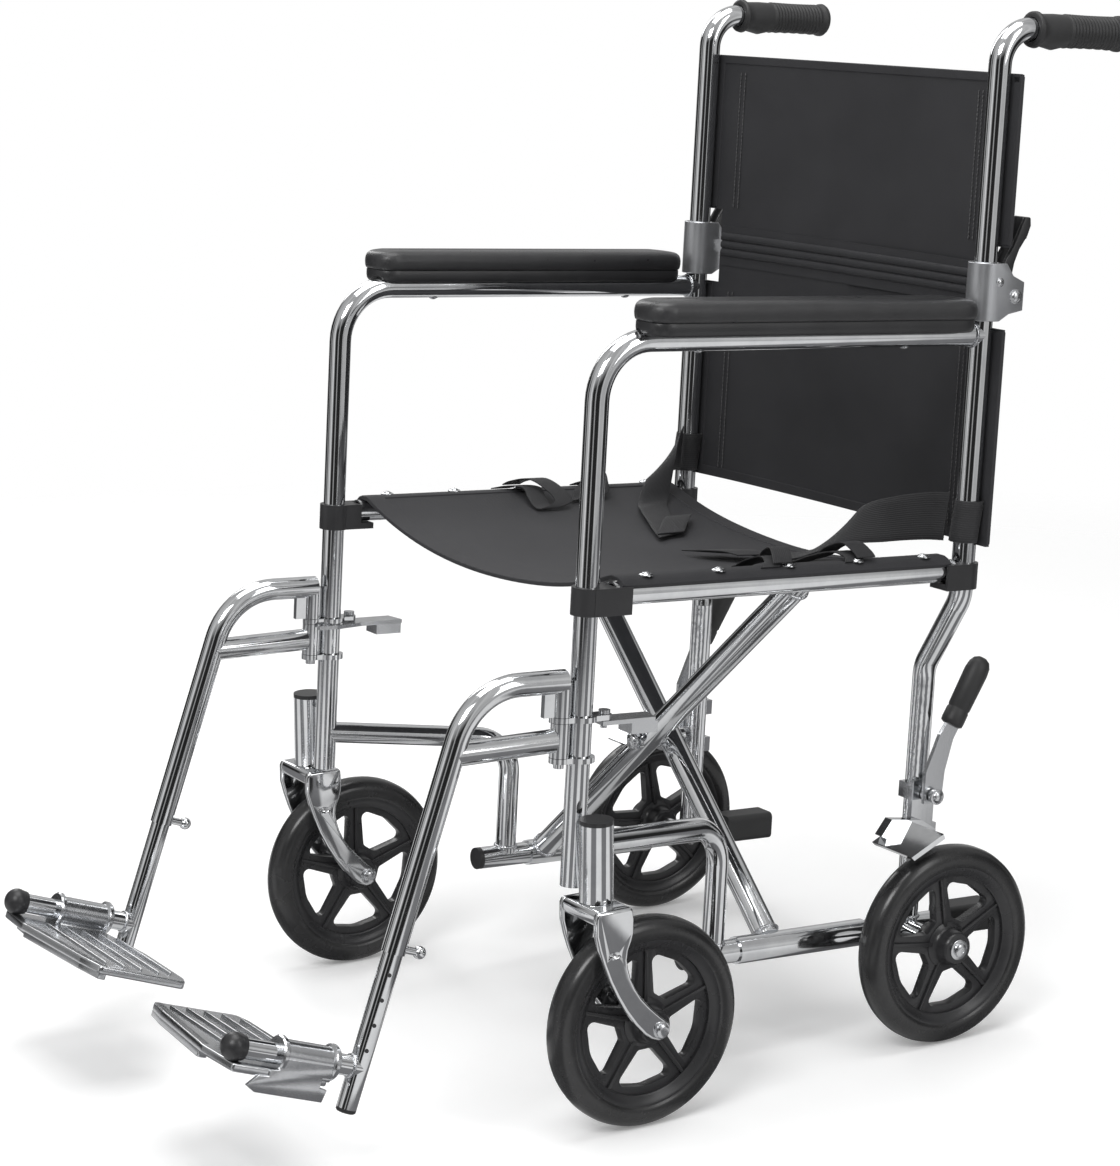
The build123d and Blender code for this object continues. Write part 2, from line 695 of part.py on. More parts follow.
sleeve = tube_r - wall
with BuildPart() as leg_tube:
    bar_z(-leg_below, seam_up + leg_overlap, 0, 0, sleeve - running)
    bar_y(-cross_len, 0, 0, 0, cross_r)
    bar_z(-leg_below, seam_up + leg_overlap, 0, 0, sleeve - wall, Mode.SUBTRACT)
put_pair(leg_tube, "leg_tube", LEG)

with BuildPart() as foot_cap:
    with Locations((0, -cross_len - 5.0, 0)):
        Sphere(cap_r)
    bar_y(-cross_len, -cross_len + 40, 0, 0, cap_r + 3, Mode.SUBTRACT)
    bar_z(-leg_below - 4, -leg_below, 0, 0, sleeve - running)
    bar_z(-leg_below, -leg_below + 10, 0, 0, sleeve - wall)
put_pair(foot_cap, "foot_cap", LEG)

plate_low = -20.0
plate_high = -11.0
skirt_x = 14.0
skirt_low = -36.0
ribs = 7
rib_pitch = 13.0
with BuildPart() as footplate:
    bar_y(-barrel_to, -barrel_from, 0, 0, barrel_r)
    bar_y(-barrel_to, -barrel_to + 6, 0, 0, barrel_r + 2.5)
    bar_y(-barrel_from - 6, -barrel_from, 0, 0, barrel_r + 2.5)
    with BuildSketch(Plane.XY.offset(plate_low)) as tread:
        Polygon(
            (skirt_x, -134), (-40, -138), (-182, -119), (-187, -22), (-80, -18), (skirt_x, -34),
            align=None,
        )
    extrude(amount=plate_high - plate_low)
    block(skirt_x - 4, skirt_x, -barrel_to, -barrel_from, skirt_low, 0)
    block(skirt_x - 4, skirt_x, -134, -34, skirt_low, plate_high)
    for n in range(ribs):
        rib_y = -110 + n * rib_pitch
        block(-172, -36, rib_y, rib_y + 3, plate_high, plate_high + 1.5)
    bar_y(-barrel_to - 1, -barrel_from + 1, 0, 0, cross_r + running, Mode.SUBTRACT)
    with Locations((0, -cross_len - 5.0, 0)):
        Sphere(cap_r + 1.0, mode=Mode.SUBTRACT)
put_pair(footplate, "footplate", LEG)

# ---- seat belt halves ---------------------------------------------------------------
belt_t = 2.0
belt_low = sling_z + sling_t + 1.0
with BuildPart() as seat_belt:
    with BuildSketch(Plane.XY.offset(belt_low)) as web:
        Polygon(
            (post_x - 20, seat_back - 40), (post_x - 12, seat_back), (post_x - 89.5, seat_back - 48),
            (post_x - 169.5, seat_back - 108), (post_x - 179.5, seat_back - 153),
            (post_x - 89.5, seat_back - 96), align=None,
        )
    extrude(amount=belt_t)
put_pair(seat_belt, "seat_belt", LEAN)
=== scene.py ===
"""Transport wheelchair: cloth, wheels, forks, fittings and finishes round the fixed frame."""

import json
import math

import bpy
from mathutils import Matrix, Vector, noise


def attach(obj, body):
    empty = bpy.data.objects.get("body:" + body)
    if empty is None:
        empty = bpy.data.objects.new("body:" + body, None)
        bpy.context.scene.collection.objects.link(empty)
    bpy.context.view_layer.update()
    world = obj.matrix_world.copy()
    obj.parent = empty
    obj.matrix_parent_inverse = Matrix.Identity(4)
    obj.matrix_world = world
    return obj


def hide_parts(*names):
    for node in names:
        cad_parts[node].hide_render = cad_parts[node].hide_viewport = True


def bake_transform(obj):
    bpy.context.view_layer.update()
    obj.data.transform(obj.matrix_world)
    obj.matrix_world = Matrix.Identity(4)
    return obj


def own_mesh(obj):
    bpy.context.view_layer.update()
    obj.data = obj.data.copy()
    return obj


bl_info = {
    "name": "Transport wheelchair looks",
    "version": (1, 0, 0),
    "blender": (4, 5, 0),
    "location": "View3D > Sidebar > Wheelchair",
    "description": "Builds the cloth, wheels, fittings and finishes of a folding transport chair",
    "category": "Object",
}

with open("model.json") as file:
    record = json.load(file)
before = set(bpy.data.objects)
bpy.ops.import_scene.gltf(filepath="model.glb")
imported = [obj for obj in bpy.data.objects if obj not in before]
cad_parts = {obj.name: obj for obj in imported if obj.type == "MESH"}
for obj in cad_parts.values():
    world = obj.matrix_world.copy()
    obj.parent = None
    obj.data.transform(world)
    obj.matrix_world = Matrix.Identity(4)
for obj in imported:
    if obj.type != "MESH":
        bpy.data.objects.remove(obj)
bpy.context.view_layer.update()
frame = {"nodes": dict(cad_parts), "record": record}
NODES = frame["nodes"]

MM = 0.001
AXLE_Y = 0.29335
AXLE_Z = 0.1016
POST_X = 0.2395
# The side frames lean back about the rear axle; the wheels and forks stand plumb.
LEANED = (
    Matrix.Translation((0, AXLE_Y, AXLE_Z))
    @ Matrix.Rotation(math.radians(-3.4), 4, "X")
    @ Matrix.Translation((0, 0, -AXLE_Z))
)
PLUMB = Matrix.Translation((0, AXLE_Y, 0))
ON_LEG = (
    LEANED
    @ Matrix.Translation((POST_X, -0.6555, 0.062))
    @ Matrix.Rotation(math.radians(-16.6), 4, "X")
)
SIDES = (("left", 1.0), ("right", -1.0))


# ---------------------------------------------------------------- modelling helpers
def clear_selection():
    if bpy.context.object and bpy.context.object.mode != "OBJECT":
        bpy.ops.object.mode_set(mode="OBJECT")
    bpy.ops.object.select_all(action="DESELECT")


def only(obj):
    clear_selection()
    obj.select_set(True)
    bpy.context.view_layer.objects.active = obj
    return obj


def named(name):
    obj = bpy.context.object
    obj.name = name
    obj.data.name = name
    return obj


def apply_place(obj):
    only(obj)
    bpy.ops.object.transform_apply(location=True, rotation=True, scale=True)
    return obj


def place(obj, matrix):
    apply_place(obj)
    obj.data.transform(matrix)
    obj.data.update()
    return obj


def apply_modifiers(obj):
    only(obj)
    for modifier in list(obj.modifiers):
        bpy.ops.object.modifier_apply(modifier=modifier.name)
    return obj


def bevelled(obj, width, segments=3, angle=35.0):
    modifier = obj.modifiers.new("edge", "BEVEL")
    modifier.width = width
    modifier.segments = segments
    modifier.limit_method = "ANGLE"
    modifier.angle_limit = math.radians(angle)
    modifier.harden_normals = False
    return apply_modifiers(obj)


def smooth(obj, angle=40.0):
    only(obj)
    bpy.ops.object.shade_smooth_by_angle(angle=math.radians(angle))
    return obj


def outwards(obj):
    only(obj)
    bpy.ops.object.mode_set(mode="EDIT")
    bpy.ops.mesh.select_all(action="SELECT")
    bpy.ops.mesh.remove_doubles(threshold=0.00001)
    bpy.ops.mesh.normals_make_consistent(inside=False)
    bpy.ops.object.mode_set(mode="OBJECT")
    return obj


def join(name, parts):
    clear_selection()
    for part in parts:
        part.select_set(True)
    bpy.context.view_layer.objects.active = parts[0]
    if len(parts) > 1:
        bpy.ops.object.join()
    return named(name)


def twin(obj, name):
    """The other side's copy, mirrored across the middle of the chair."""
    other = obj.copy()
    other.data = obj.data.copy()
    other.name = name
    other.data.name = name
    bpy.context.scene.collection.objects.link(other)
    other.data.transform(Matrix.Scale(-1, 4, (1, 0, 0)))
    other.data.flip_normals()
    return other


def copy_at(obj, name, matrix):
    other = obj.copy()
    other.data = obj.data.copy()
    other.name = name
    other.data.name = name
    bpy.context.scene.collection.objects.link(other)
    other.data.transform(matrix)
    return other


def mm(points):
    """Points in millimetres, given back in metres."""
    return [(a * MM, b * MM) for a, b in points]


def ball(name, centre, radius, scale=(1, 1, 1), segments=24):
    clear_selection()
    bpy.ops.mesh.primitive_uv_sphere_add(
        segments=segments, ring_count=segments // 2, radius=radius, location=centre
    )
    obj = named(name)
    obj.scale = scale
    return smooth(apply_place(obj), 60)


def rod(name, start, end, radius, sides=32, edge=0.0):
    clear_selection()
    a, b = Vector(start), Vector(end)
    bpy.ops.mesh.primitive_cylinder_add(
        vertices=sides, radius=radius, depth=(b - a).length, location=(a + b) / 2
    )
    obj = named(name)
    obj.rotation_mode = "QUATERNION"
    obj.rotation_quaternion = (b - a).to_track_quat("Z", "Y")
    apply_place(obj)
    if edge > 0:
        bevelled(obj, edge, 3)
    return smooth(obj)


def slab(name, low, high, edge=0.0, segments=3):
    clear_selection()
    lo, hi = Vector(low), Vector(high)
    bpy.ops.mesh.primitive_cube_add(size=1, location=(lo + hi) / 2)
    obj = named(name)
    obj.scale = hi - lo
    apply_place(obj)
    if edge > 0:
        bevelled(obj, edge, segments)
    return smooth(obj)


def rounded(corners, radii, steps=5):
    """A closed outline with each corner turned into an arc of its own radius."""
    points = []
    count = len(corners)
    for i, corner in enumerate(corners):
        c = Vector(corner)
        before = (Vector(corners[i - 1]) - c).normalized()
        after = (Vector(corners[(i + 1) % count]) - c).normalized()
        half = math.acos(max(-1, min(1, before.dot(after)))) / 2
        r = radii[i] if hasattr(radii, "__len__") else radii
        if r <= 0 or half > math.pi / 2 - 0.02:
            points.append(tuple(c))
            continue
        reach = r / math.tan(half)
        middle = c + (before + after).normalized() * (r / math.sin(half))
        a, b = c + before * reach - middle, c + after * reach - middle
        turn = a.angle_signed(b)
        for n in range(steps + 1):
            s = -turn * n / steps
            x = a.x * math.cos(s) - a.y * math.sin(s)
            y = a.x * math.sin(s) + a.y * math.cos(s)
            points.append((middle.x + x, middle.y + y))
    return points


def cutout(name, outline, thick, plane="YZ", edge=0.0, segments=3):
    """A flat plate: a filled circle set to the outline, extruded and its edges rounded."""
    clear_selection()
    bpy.ops.mesh.primitive_circle_add(vertices=len(outline), radius=1, fill_type="NGON")
    obj = named(name)
    for vertex, (u, v) in zip(obj.data.vertices, outline):
        vertex.co = {"YZ": (0, u, v), "XY": (u, v, 0), "XZ": (u, 0, v)}[plane]
    out = {"YZ": (thick, 0, 0), "XY": (0, 0, thick), "XZ": (0, thick, 0)}[plane]
    only(obj)
    bpy.ops.object.mode_set(mode="EDIT")
    bpy.ops.mesh.select_all(action="SELECT")
    bpy.ops.mesh.extrude_region_move(TRANSFORM_OT_translate={"value": out})
    bpy.ops.object.mode_set(mode="OBJECT")
    outwards(obj)
    if edge > 0:
        bevelled(obj, edge, segments)
    return smooth(obj)


def turned(name, profile, axis="X", steps=72, angle=35.0):
    """A closed profile of (along, out) points spun a full turn about an axis."""
    clear_selection()
    bpy.ops.mesh.primitive_circle_add(vertices=len(profile), radius=1, fill_type="NOTHING")
    obj = named(name)
    for vertex, (along, out) in zip(obj.data.vertices, profile):
        vertex.co = {"X": (along, 0, out), "Y": (0, along, out), "Z": (out, 0, along)}[axis]
    only(obj)
    bpy.ops.object.mode_set(mode="EDIT")
    bpy.ops.mesh.select_all(action="SELECT")
    direction = {"X": (1, 0, 0), "Y": (0, 1, 0), "Z": (0, 0, 1)}[axis]
    bpy.ops.mesh.spin(steps=steps, angle=2 * math.pi, center=(0, 0, 0), axis=direction)
    bpy.ops.object.mode_set(mode="OBJECT")
    outwards(obj)
    return smooth(obj, angle)


def cut_away(obj, tools):
    for tool in tools:
        modifier = obj.modifiers.new("cut", "BOOLEAN")
        modifier.operation = "DIFFERENCE"
        modifier.solver = "EXACT"
        modifier.object = tool
    apply_modifiers(obj)
    for tool in tools:
        bpy.data.objects.remove(tool)
    return obj


def ribbon(name, path, across, width, thick, repeats=6):
    """A flat strap along a path of points; across gives the strap's width direction at each point."""
    points = [Vector(p) for p in path]
    sides = [Vector(a).normalized() for a in across]
    line, wide = [], []
    for i in range(len(points) - 1):
        p0 = points[max(i - 1, 0)]
        p1, p2 = points[i], points[i + 1]
        p3 = points[min(i + 2, len(points) - 1)]
        for n in range(repeats):
            t = n / repeats
            line.append(
                0.5
                * (
                    2 * p1
                    + (p2 - p0) * t
                    + (2 * p0 - 5 * p1 + 4 * p2 - p3) * t * t
                    + (3 * p1 - p0 - 3 * p2 + p3) * t**3
                )
            )
            wide.append(sides[i].lerp(sides[i + 1], t).normalized())
    line.append(points[-1])
    wide.append(sides[-1])
    columns = 7
    vertices, faces = [], []
    for p, w in zip(line, wide):
        for c in range(columns):
            vertices.append(p + w * width * (c / (columns - 1) - 0.5))
    for r in range(len(line) - 1):
        for c in range(columns - 1):
            a = r * columns + c
            faces.append((a, a + 1, a + 1 + columns, a + columns))
    mesh = bpy.data.meshes.new(name)
    mesh.from_pydata([tuple(v) for v in vertices], [], faces)
    uv = mesh.uv_layers.new(name="strap")
    lengths = [0.0]
    for a, b in zip(line, line[1:]):
        lengths.append(lengths[-1] + (b - a).length)
    for loop in mesh.loops:
        row, column = divmod(loop.vertex_index, columns)
        uv.data[loop.index].uv = (width * column / (columns - 1), lengths[row])
    obj = bpy.data.objects.new(name, mesh)
    bpy.context.scene.collection.objects.link(obj)
    shell = obj.modifiers.new("thick", "SOLIDIFY")
    shell.thickness = thick
    shell.offset = 0
    apply_modifiers(obj)
    bevelled(obj, thick * 0.35, 2, 50)
    return smooth(obj, 60)


def grid_cloth(name, columns, rows, where, thick):
    """A sheet from a grid of points: where(u, v) gives the point for u and v from 0 to 1."""
    vertices, faces = [], []
    for r in range(rows + 1):
        for c in range(columns + 1):
            vertices.append(tuple(where(c / columns, r / rows)))
    for r in range(rows):
        for c in range(columns):
            a = r * (columns + 1) + c
            faces.append((a, a + 1, a + columns + 2, a + columns + 1))
    mesh = bpy.data.meshes.new(name)
    mesh.from_pydata(vertices, [], faces)
    obj = bpy.data.objects.new(name, mesh)
    bpy.context.scene.collection.objects.link(obj)
    shell = obj.modifiers.new("thick", "SOLIDIFY")
    shell.thickness = thick
    shell.offset = 0
    apply_modifiers(obj)
    outwards(obj)
    return smooth(obj, 50)


def finish_piece(obj, material, slot, body=None, *stands_for):
    obj.data.materials.clear()
    obj.data.materials.append(material)
    if body:
        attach(obj, body)
    if stands_for:
        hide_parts(*stands_for)
    return obj


def both_sides(obj, name, material, slot, body, *stands_for):
    """Finishes the left piece and its right twin, each riding on its own side's body."""
    other = twin(obj, f"right_{name}")
    obj.name = f"left_{name}"
    obj.data.name = obj.name
    finish_piece(obj, material, slot, f"left_{body}", *[f"left_{n}" for n in stands_for])
    finish_piece(other, material, slot, f"right_{body}", *[f"right_{n}" for n in stands_for])
    return obj, other


# ---------------------------------------------------------------- materials
class Sock:
    """One socket in a material, with arithmetic that adds Math nodes."""

    def __init__(self, look, socket):
        self.look = look
        self.socket = socket

    def _math(self, operation, *values, clamp=False):
        made = self.look.node("ShaderNodeMath", {"operation": operation, "use_clamp": clamp}, values)
        return Sock(self.look, made.outputs[0])

    def __add__(self, other):
        return self._math("ADD", self, other)

    __radd__ = __add__

    def __sub__(self, other):
        return self._math("SUBTRACT", self, other)

    def __rsub__(self, other):
        return self._math("SUBTRACT", other, self)

    def __mul__(self, other):
        return self._math("MULTIPLY", self, other)

    __rmul__ = __mul__

    def __truediv__(self, other):
        return self._math("DIVIDE", self, other)

    def __pow__(self, other):
        return self._math("POWER", self, other)

    def sin(self):
        return self._math("SINE", self)

    def clamp(self):
        return self._math("ADD", self, 0.0, clamp=True)


class Graph:
    """A node tree with short ways to add nodes."""

    def __init__(self, tree):
        self.tree = tree

    def node(self, kind, settings=None, values=()):
        made = self.tree.nodes.new(kind)
        for key, value in (settings or {}).items():
            setattr(made, key, value)
        pairs = values.items() if isinstance(values, dict) else enumerate(values)
        for key, value in pairs:
            if isinstance(value, Sock):
                self.tree.links.new(value.socket, made.inputs[key])
            elif value is not None:
                made.inputs[key].default_value = value
        return made

    def point(self, kind="Object"):
        return Sock(self, self.node("ShaderNodeTexCoord").outputs[kind])

    def axes(self, vector):
        made = self.node("ShaderNodeSeparateXYZ", None, (vector,))
        return [Sock(self, made.outputs[i]) for i in range(3)]

    def uv(self, name):
        made = self.node("ShaderNodeUVMap", {"uv_map": name})
        return Sock(self, made.outputs[0])

    def noise(self, scale, detail=3.0, rough=0.55, stretch=(1, 1, 1), vector=None):
        mapped = self.node(
            "ShaderNodeMapping", None, {"Vector": vector or self.point(), "Scale": stretch}
        )
        made = self.node(
            "ShaderNodeTexNoise",
            None,
            {"Vector": Sock(self, mapped.outputs[0]), "Scale": scale, "Detail": detail, "Roughness": rough},
        )
        return Sock(self, made.outputs["Fac"])

    def grain(self, scale, vector=None):
        made = self.node(
            "ShaderNodeTexVoronoi",
            {"feature": "DISTANCE_TO_EDGE"},
            {"Vector": vector or self.point(), "Scale": scale},
        )
        return Sock(self, made.outputs["Distance"])

    def mix(self, factor, a, b):
        made = self.node("ShaderNodeMix", {"data_type": "RGBA"})
        for socket, value in ((made.inputs[0], factor), (made.inputs[6], a), (made.inputs[7], b)):
            if isinstance(value, Sock):
                self.tree.links.new(value.socket, socket)
            elif socket == made.inputs[0]:
                socket.default_value = value
            else:
                socket.default_value = (*value, 1)
        return Sock(self, made.outputs[2])

    def span(self, value, low, high):
        """Maps 0..1 onto low..high."""
        return value * (high - low) + low


class Look(Graph):
    """A material with a Principled shader."""

    def __init__(self, name, colour, roughness, metallic=0.0, **constants):
        self.material = bpy.data.materials.new(name)
        self.material.use_nodes = True
        super().__init__(self.material.node_tree)
        self.shader = self.tree.nodes["Principled BSDF"]
        self.shader.inputs["Base Color"].default_value = (*colour, 1)
        self.shader.inputs["Roughness"].default_value = roughness
        self.shader.inputs["Metallic"].default_value = metallic
        for key, value in constants.items():
            self.shader.inputs[key.replace("_", " ").title().replace("Ior", "IOR")].default_value = value
        self.material.diffuse_color = (*colour, 1)

    def feed(self, socket, value):
        self.tree.links.new(value.socket, self.shader.inputs[socket])

    def bump(self, height, strength, distance):
        made = self.node(
            "ShaderNodeBump", None, {"Strength": strength, "Distance": distance, "Height": height}
        )
        self.tree.links.new(made.outputs[0], self.shader.inputs["Normal"])


def chrome_look():
    look = Look("polished_chrome", tuple(colours().chrome), 0.06, 1.0)
    haze = look.noise(9.0, 4.0)
    scratch = look.noise(140.0, 2.0, 0.6, (1.0, 1.0, 0.06))
    look.feed("Roughness", look.span(haze, 0.03, 0.12) + (scratch - 0.5) * 0.05)
    dull = look.noise(26.0, 5.0, 0.7)
    look.feed(
        "Base Color", look.mix((dull * 2.2 - 0.9).clamp(), tuple(colours().chrome), (0.66, 0.67, 0.69))
    )
    look.bump(look.noise(60.0, 2.0) * 0.6 + scratch * 0.4, 0.05, 0.0006)
    return look.material


def weld_look():
    look = Look("chromed_weld", (0.62, 0.63, 0.65), 0.16, 1.0)
    lumps = look.noise(420.0, 3.0)
    look.feed("Roughness", look.span(lumps, 0.08, 0.32))
    look.bump(lumps, 0.6, 0.0012)
    return look.material


def plated_look():
    look = Look("plated_fastener", (0.70, 0.71, 0.73), 0.22, 1.0)
    worn = look.noise(70.0, 4.0)
    look.feed("Roughness", look.span(worn, 0.14, 0.34))
    look.feed("Base Color", look.mix(worn, (0.56, 0.57, 0.59), (0.80, 0.81, 0.82)))
    look.bump(look.noise(500.0, 2.0), 0.08, 0.0004)
    return look.material


def silver_look():
    look = Look("silver_bracket", (0.60, 0.61, 0.63), 0.34, 0.9)
    tone = look.noise(28.0, 4.0)
    fine = look.noise(900.0, 2.0)
    look.feed("Base Color", look.mix(tone, (0.52, 0.53, 0.55), (0.68, 0.69, 0.71)))
    look.feed("Roughness", look.span(tone, 0.26, 0.42))
    look.bump(fine, 0.12, 0.0003)
    return look.material


def casting_look():
    look = Look("polished_casting", (0.66, 0.67, 0.69), 0.2, 1.0)
    cloud = look.noise(14.0, 5.0, 0.65)
    brushed = look.noise(260.0, 2.0, 0.6, (0.07, 1.0, 1.0))
    look.feed("Base Color", look.mix(cloud, (0.50, 0.51, 0.53), (0.78, 0.79, 0.80)))
    look.feed("Roughness", look.span(cloud, 0.14, 0.30) + (brushed - 0.5) * 0.12)
    look.bump(brushed * 0.5 + look.noise(120.0, 3.0) * 0.5, 0.16, 0.0006)
    return look.material


def nylon_look():
    base = tuple(colours().cloth)
    look = Look(
        "black_nylon", base, 0.62, specular_ior_level=0.22, sheen_weight=0.04, sheen_roughness=0.5
    )
    x, y, z = look.axes(look.point())
    pitch = 2 * math.pi / 0.0016
    warp = (x * pitch).sin()
    weft = ((z + y) * pitch).sin()
    weave = warp * weft * 0.5 + 0.5
    shade = look.noise(7.0, 4.0, 0.6)
    fuzz = look.noise(650.0, 2.0)
    dusty = tuple(c * 2.3 + 0.012 for c in base)
    look.feed("Base Color", look.mix((shade * 1.3 - 0.35).clamp() * 0.55 + weave * 0.25, base, dusty))
    look.feed("Roughness", look.span(shade, 0.52, 0.74))
    look.bump(weave * 0.7 + fuzz * 0.3, 0.35, 0.0006)
    return look.material


def webbing_look():
    base = tuple(colours().strap)
    look = Look(
        "black_webbing", base, 0.55, specular_ior_level=0.3, sheen_weight=0.07, sheen_roughness=0.45
    )
    u, v, _ = look.axes(look.uv("strap"))
    ribs = (u * (2 * math.pi / 0.0022)).sin() * 0.5 + 0.5
    picks = (v * (2 * math.pi / 0.0013)).sin() * 0.5 + 0.5
    shade = look.noise(30.0, 3.0)
    look.feed("Base Color", look.mix(shade * 0.5 + ribs * 0.3, base, tuple(c * 2.6 + 0.012 for c in base)))
    look.feed("Roughness", look.span(shade, 0.42, 0.68))
    look.bump(ribs * 0.6 + picks * 0.4, 0.45, 0.0006)
    return look.material


def thread_look():
    look = Look("black_thread", (0.05, 0.05, 0.052), 0.5, 0.0, sheen_weight=0.3)
    look.feed("Roughness", look.span(look.noise(800.0, 2.0), 0.4, 0.65))
    look.bump(look.noise(1500.0, 2.0), 0.3, 0.0003)
    return look.material


def vinyl_look():
    base = tuple(colours().pad)
    look = Look("grained_vinyl", base, 0.28, 0.0, coat_weight=0.2, coat_roughness=0.24)
    cells = look.grain(900.0)
    soft = look.noise(40.0, 4.0)
    look.feed("Base Color", look.mix(soft, base, tuple(c * 1.9 + 0.004 for c in base)))
    look.feed("Roughness", look.span(soft, 0.22, 0.38))
    look.bump((cells * 6.0).clamp() * 0.6 + look.noise(320.0, 3.0) * 0.4, 0.28, 0.0005)
    return look.material


def moulded_look(name, colour, rough, scale=700.0):
    look = Look(name, colour, rough)
    tone = look.noise(22.0, 4.0)
    speck = look.noise(scale, 2.0, 0.7)
    look.feed("Base Color", look.mix(tone, colour, tuple(c * 1.9 + 0.006 for c in colour)))
    look.feed("Roughness", look.span(tone, rough - 0.07, rough + 0.1))
    look.bump(speck, 0.16, 0.0004)
    return look.material


def tyre_look():
    base = tuple(colours().tyre)
    look = Look("solid_tyre", base, 0.24, coat_weight=0.15, coat_roughness=0.18)
    tone = look.noise(16.0, 5.0, 0.6)
    dust = look.noise(180.0, 3.0, 0.65)
    dusty = (tone * 1.8 - 0.7).clamp() * 0.5 + (dust * 2.0 - 1.1).clamp() * 0.5
    look.feed("Base Color", look.mix(dusty, base, tuple(c * 2.4 + 0.01 for c in base)))
    look.feed("Roughness", look.span(tone, 0.18, 0.34))
    look.bump(look.noise(520.0, 3.0), 0.14, 0.0004)
    return look.material


LOOKS = {}


def look_for(slot):
    """Each finish is made once, under the record's slot name."""
    makers = {
        "chrome": chrome_look,
        "weld": weld_look,
        "fastener": plated_look,
        "silver_bracket": silver_look,
        "cast_aluminium": casting_look,
        "black_nylon": nylon_look,
        "webbing": webbing_look,
        "thread": thread_look,
        "black_vinyl": vinyl_look,
        "black_plastic": lambda: moulded_look("black_plastic", (0.014, 0.014, 0.015), 0.34),
        "wheel_black": lambda: moulded_look("wheel_plastic", (0.014, 0.014, 0.015), 0.27),
        "tyre_black": tyre_look,
        "grip_rubber": lambda: moulded_look("grip_rubber", (0.014, 0.014, 0.0145), 0.48, 420.0),
    }
    if slot not in LOOKS:
        LOOKS[slot] = makers[slot]()
    return LOOKS[slot]


# ---------------------------------------------------------------- what a user can change
class ChairSizes(bpy.types.PropertyGroup):
    wheel_radius: bpy.props.FloatProperty(
        name="Wheel radius", description="Outside radius of all four wheels", default=0.1015, unit="LENGTH"
    )
    spokes: bpy.props.IntProperty(
        name="Spokes", description="Spokes in each wheel", default=5, min=3, max=9
    )
    seat_sag: bpy.props.FloatProperty(
        name="Seat sag", description="How far the seat cloth hangs in the middle", default=0.032,
        unit="LENGTH",
    )
    back_bow: bpy.props.FloatProperty(
        name="Back bow", description="How far the back cloth bows to the rear", default=0.010, unit="LENGTH"
    )
    cloth_thickness: bpy.props.FloatProperty(
        name="Cloth thickness", description="Thickness of the seat and back cloth", default=0.0024,
        unit="LENGTH",
    )
    belt_width: bpy.props.FloatProperty(
        name="Belt width", description="Width of the lap belt webbing", default=0.048, unit="LENGTH"
    )


class ChairColours(bpy.types.PropertyGroup):
    chrome: bpy.props.FloatVectorProperty(
        name="Chrome", description="Colour of the plated tubes", subtype="COLOR", default=(0.82, 0.83, 0.84)
    )
    cloth: bpy.props.FloatVectorProperty(
        name="Cloth", description="Seat and back cloth", subtype="COLOR", default=(0.020, 0.020, 0.022)
    )
    strap: bpy.props.FloatVectorProperty(
        name="Straps", description="Belt webbing", subtype="COLOR", default=(0.013, 0.013, 0.014)
    )
    pad: bpy.props.FloatVectorProperty(
        name="Arm pads", description="Arm pad vinyl", subtype="COLOR", default=(0.015, 0.015, 0.016)
    )
    tyre: bpy.props.FloatVectorProperty(
        name="Tyres", description="Solid tyre rubber", subtype="COLOR", default=(0.017, 0.017, 0.0175)
    )


def sizes():
    return bpy.context.scene.chair_sizes


def colours():
    return bpy.context.scene.chair_colours


# ---------------------------------------------------------------- frame finishes
class CHAIR_OT_frame_finishes(bpy.types.Operator):
    """Give every piece that stays from the frame its finish"""

    bl_idname = "chair.frame_finishes"
    bl_label = "Frame finishes"

    def execute(self, context):
        slots = {row["node"]: row["material_slot"] for row in frame["record"]["subparts"]}
        plated = {"hanger_latch": "fastener", "brake_shoe": "chrome", "brake_bracket": "chrome"}
        for name, node in NODES.items():
            node.data.materials.clear()
            node.data.materials.append(look_for(plated.get(name.split("_", 1)[1], slots[name])))
            for polygon in node.data.polygons:
                polygon.use_smooth = True
            smooth(node, 32)
        clear_selection()
        return {"FINISHED"}


# ---------------------------------------------------------------- wheels
def tyre_shape():
    r = sizes().wheel_radius
    half = [
        (14.2, 81.6), (15.0, 85.0), (15.0, 89.5), (14.1, 94.0), (11.8, 97.6), (8.0, 100.1), (3.0, 101.4)
    ]
    top = 101.5 * MM
    profile = [(x * MM, z * MM * r / top) for x, z in half]
    other = [(-x, z) for x, z in reversed(profile)]
    inner = [(-11.0 * MM, 78.6 * MM), (11.0 * MM, 78.6 * MM)]
    return turned("tyre", profile + other + inner, "X", 96, 50)


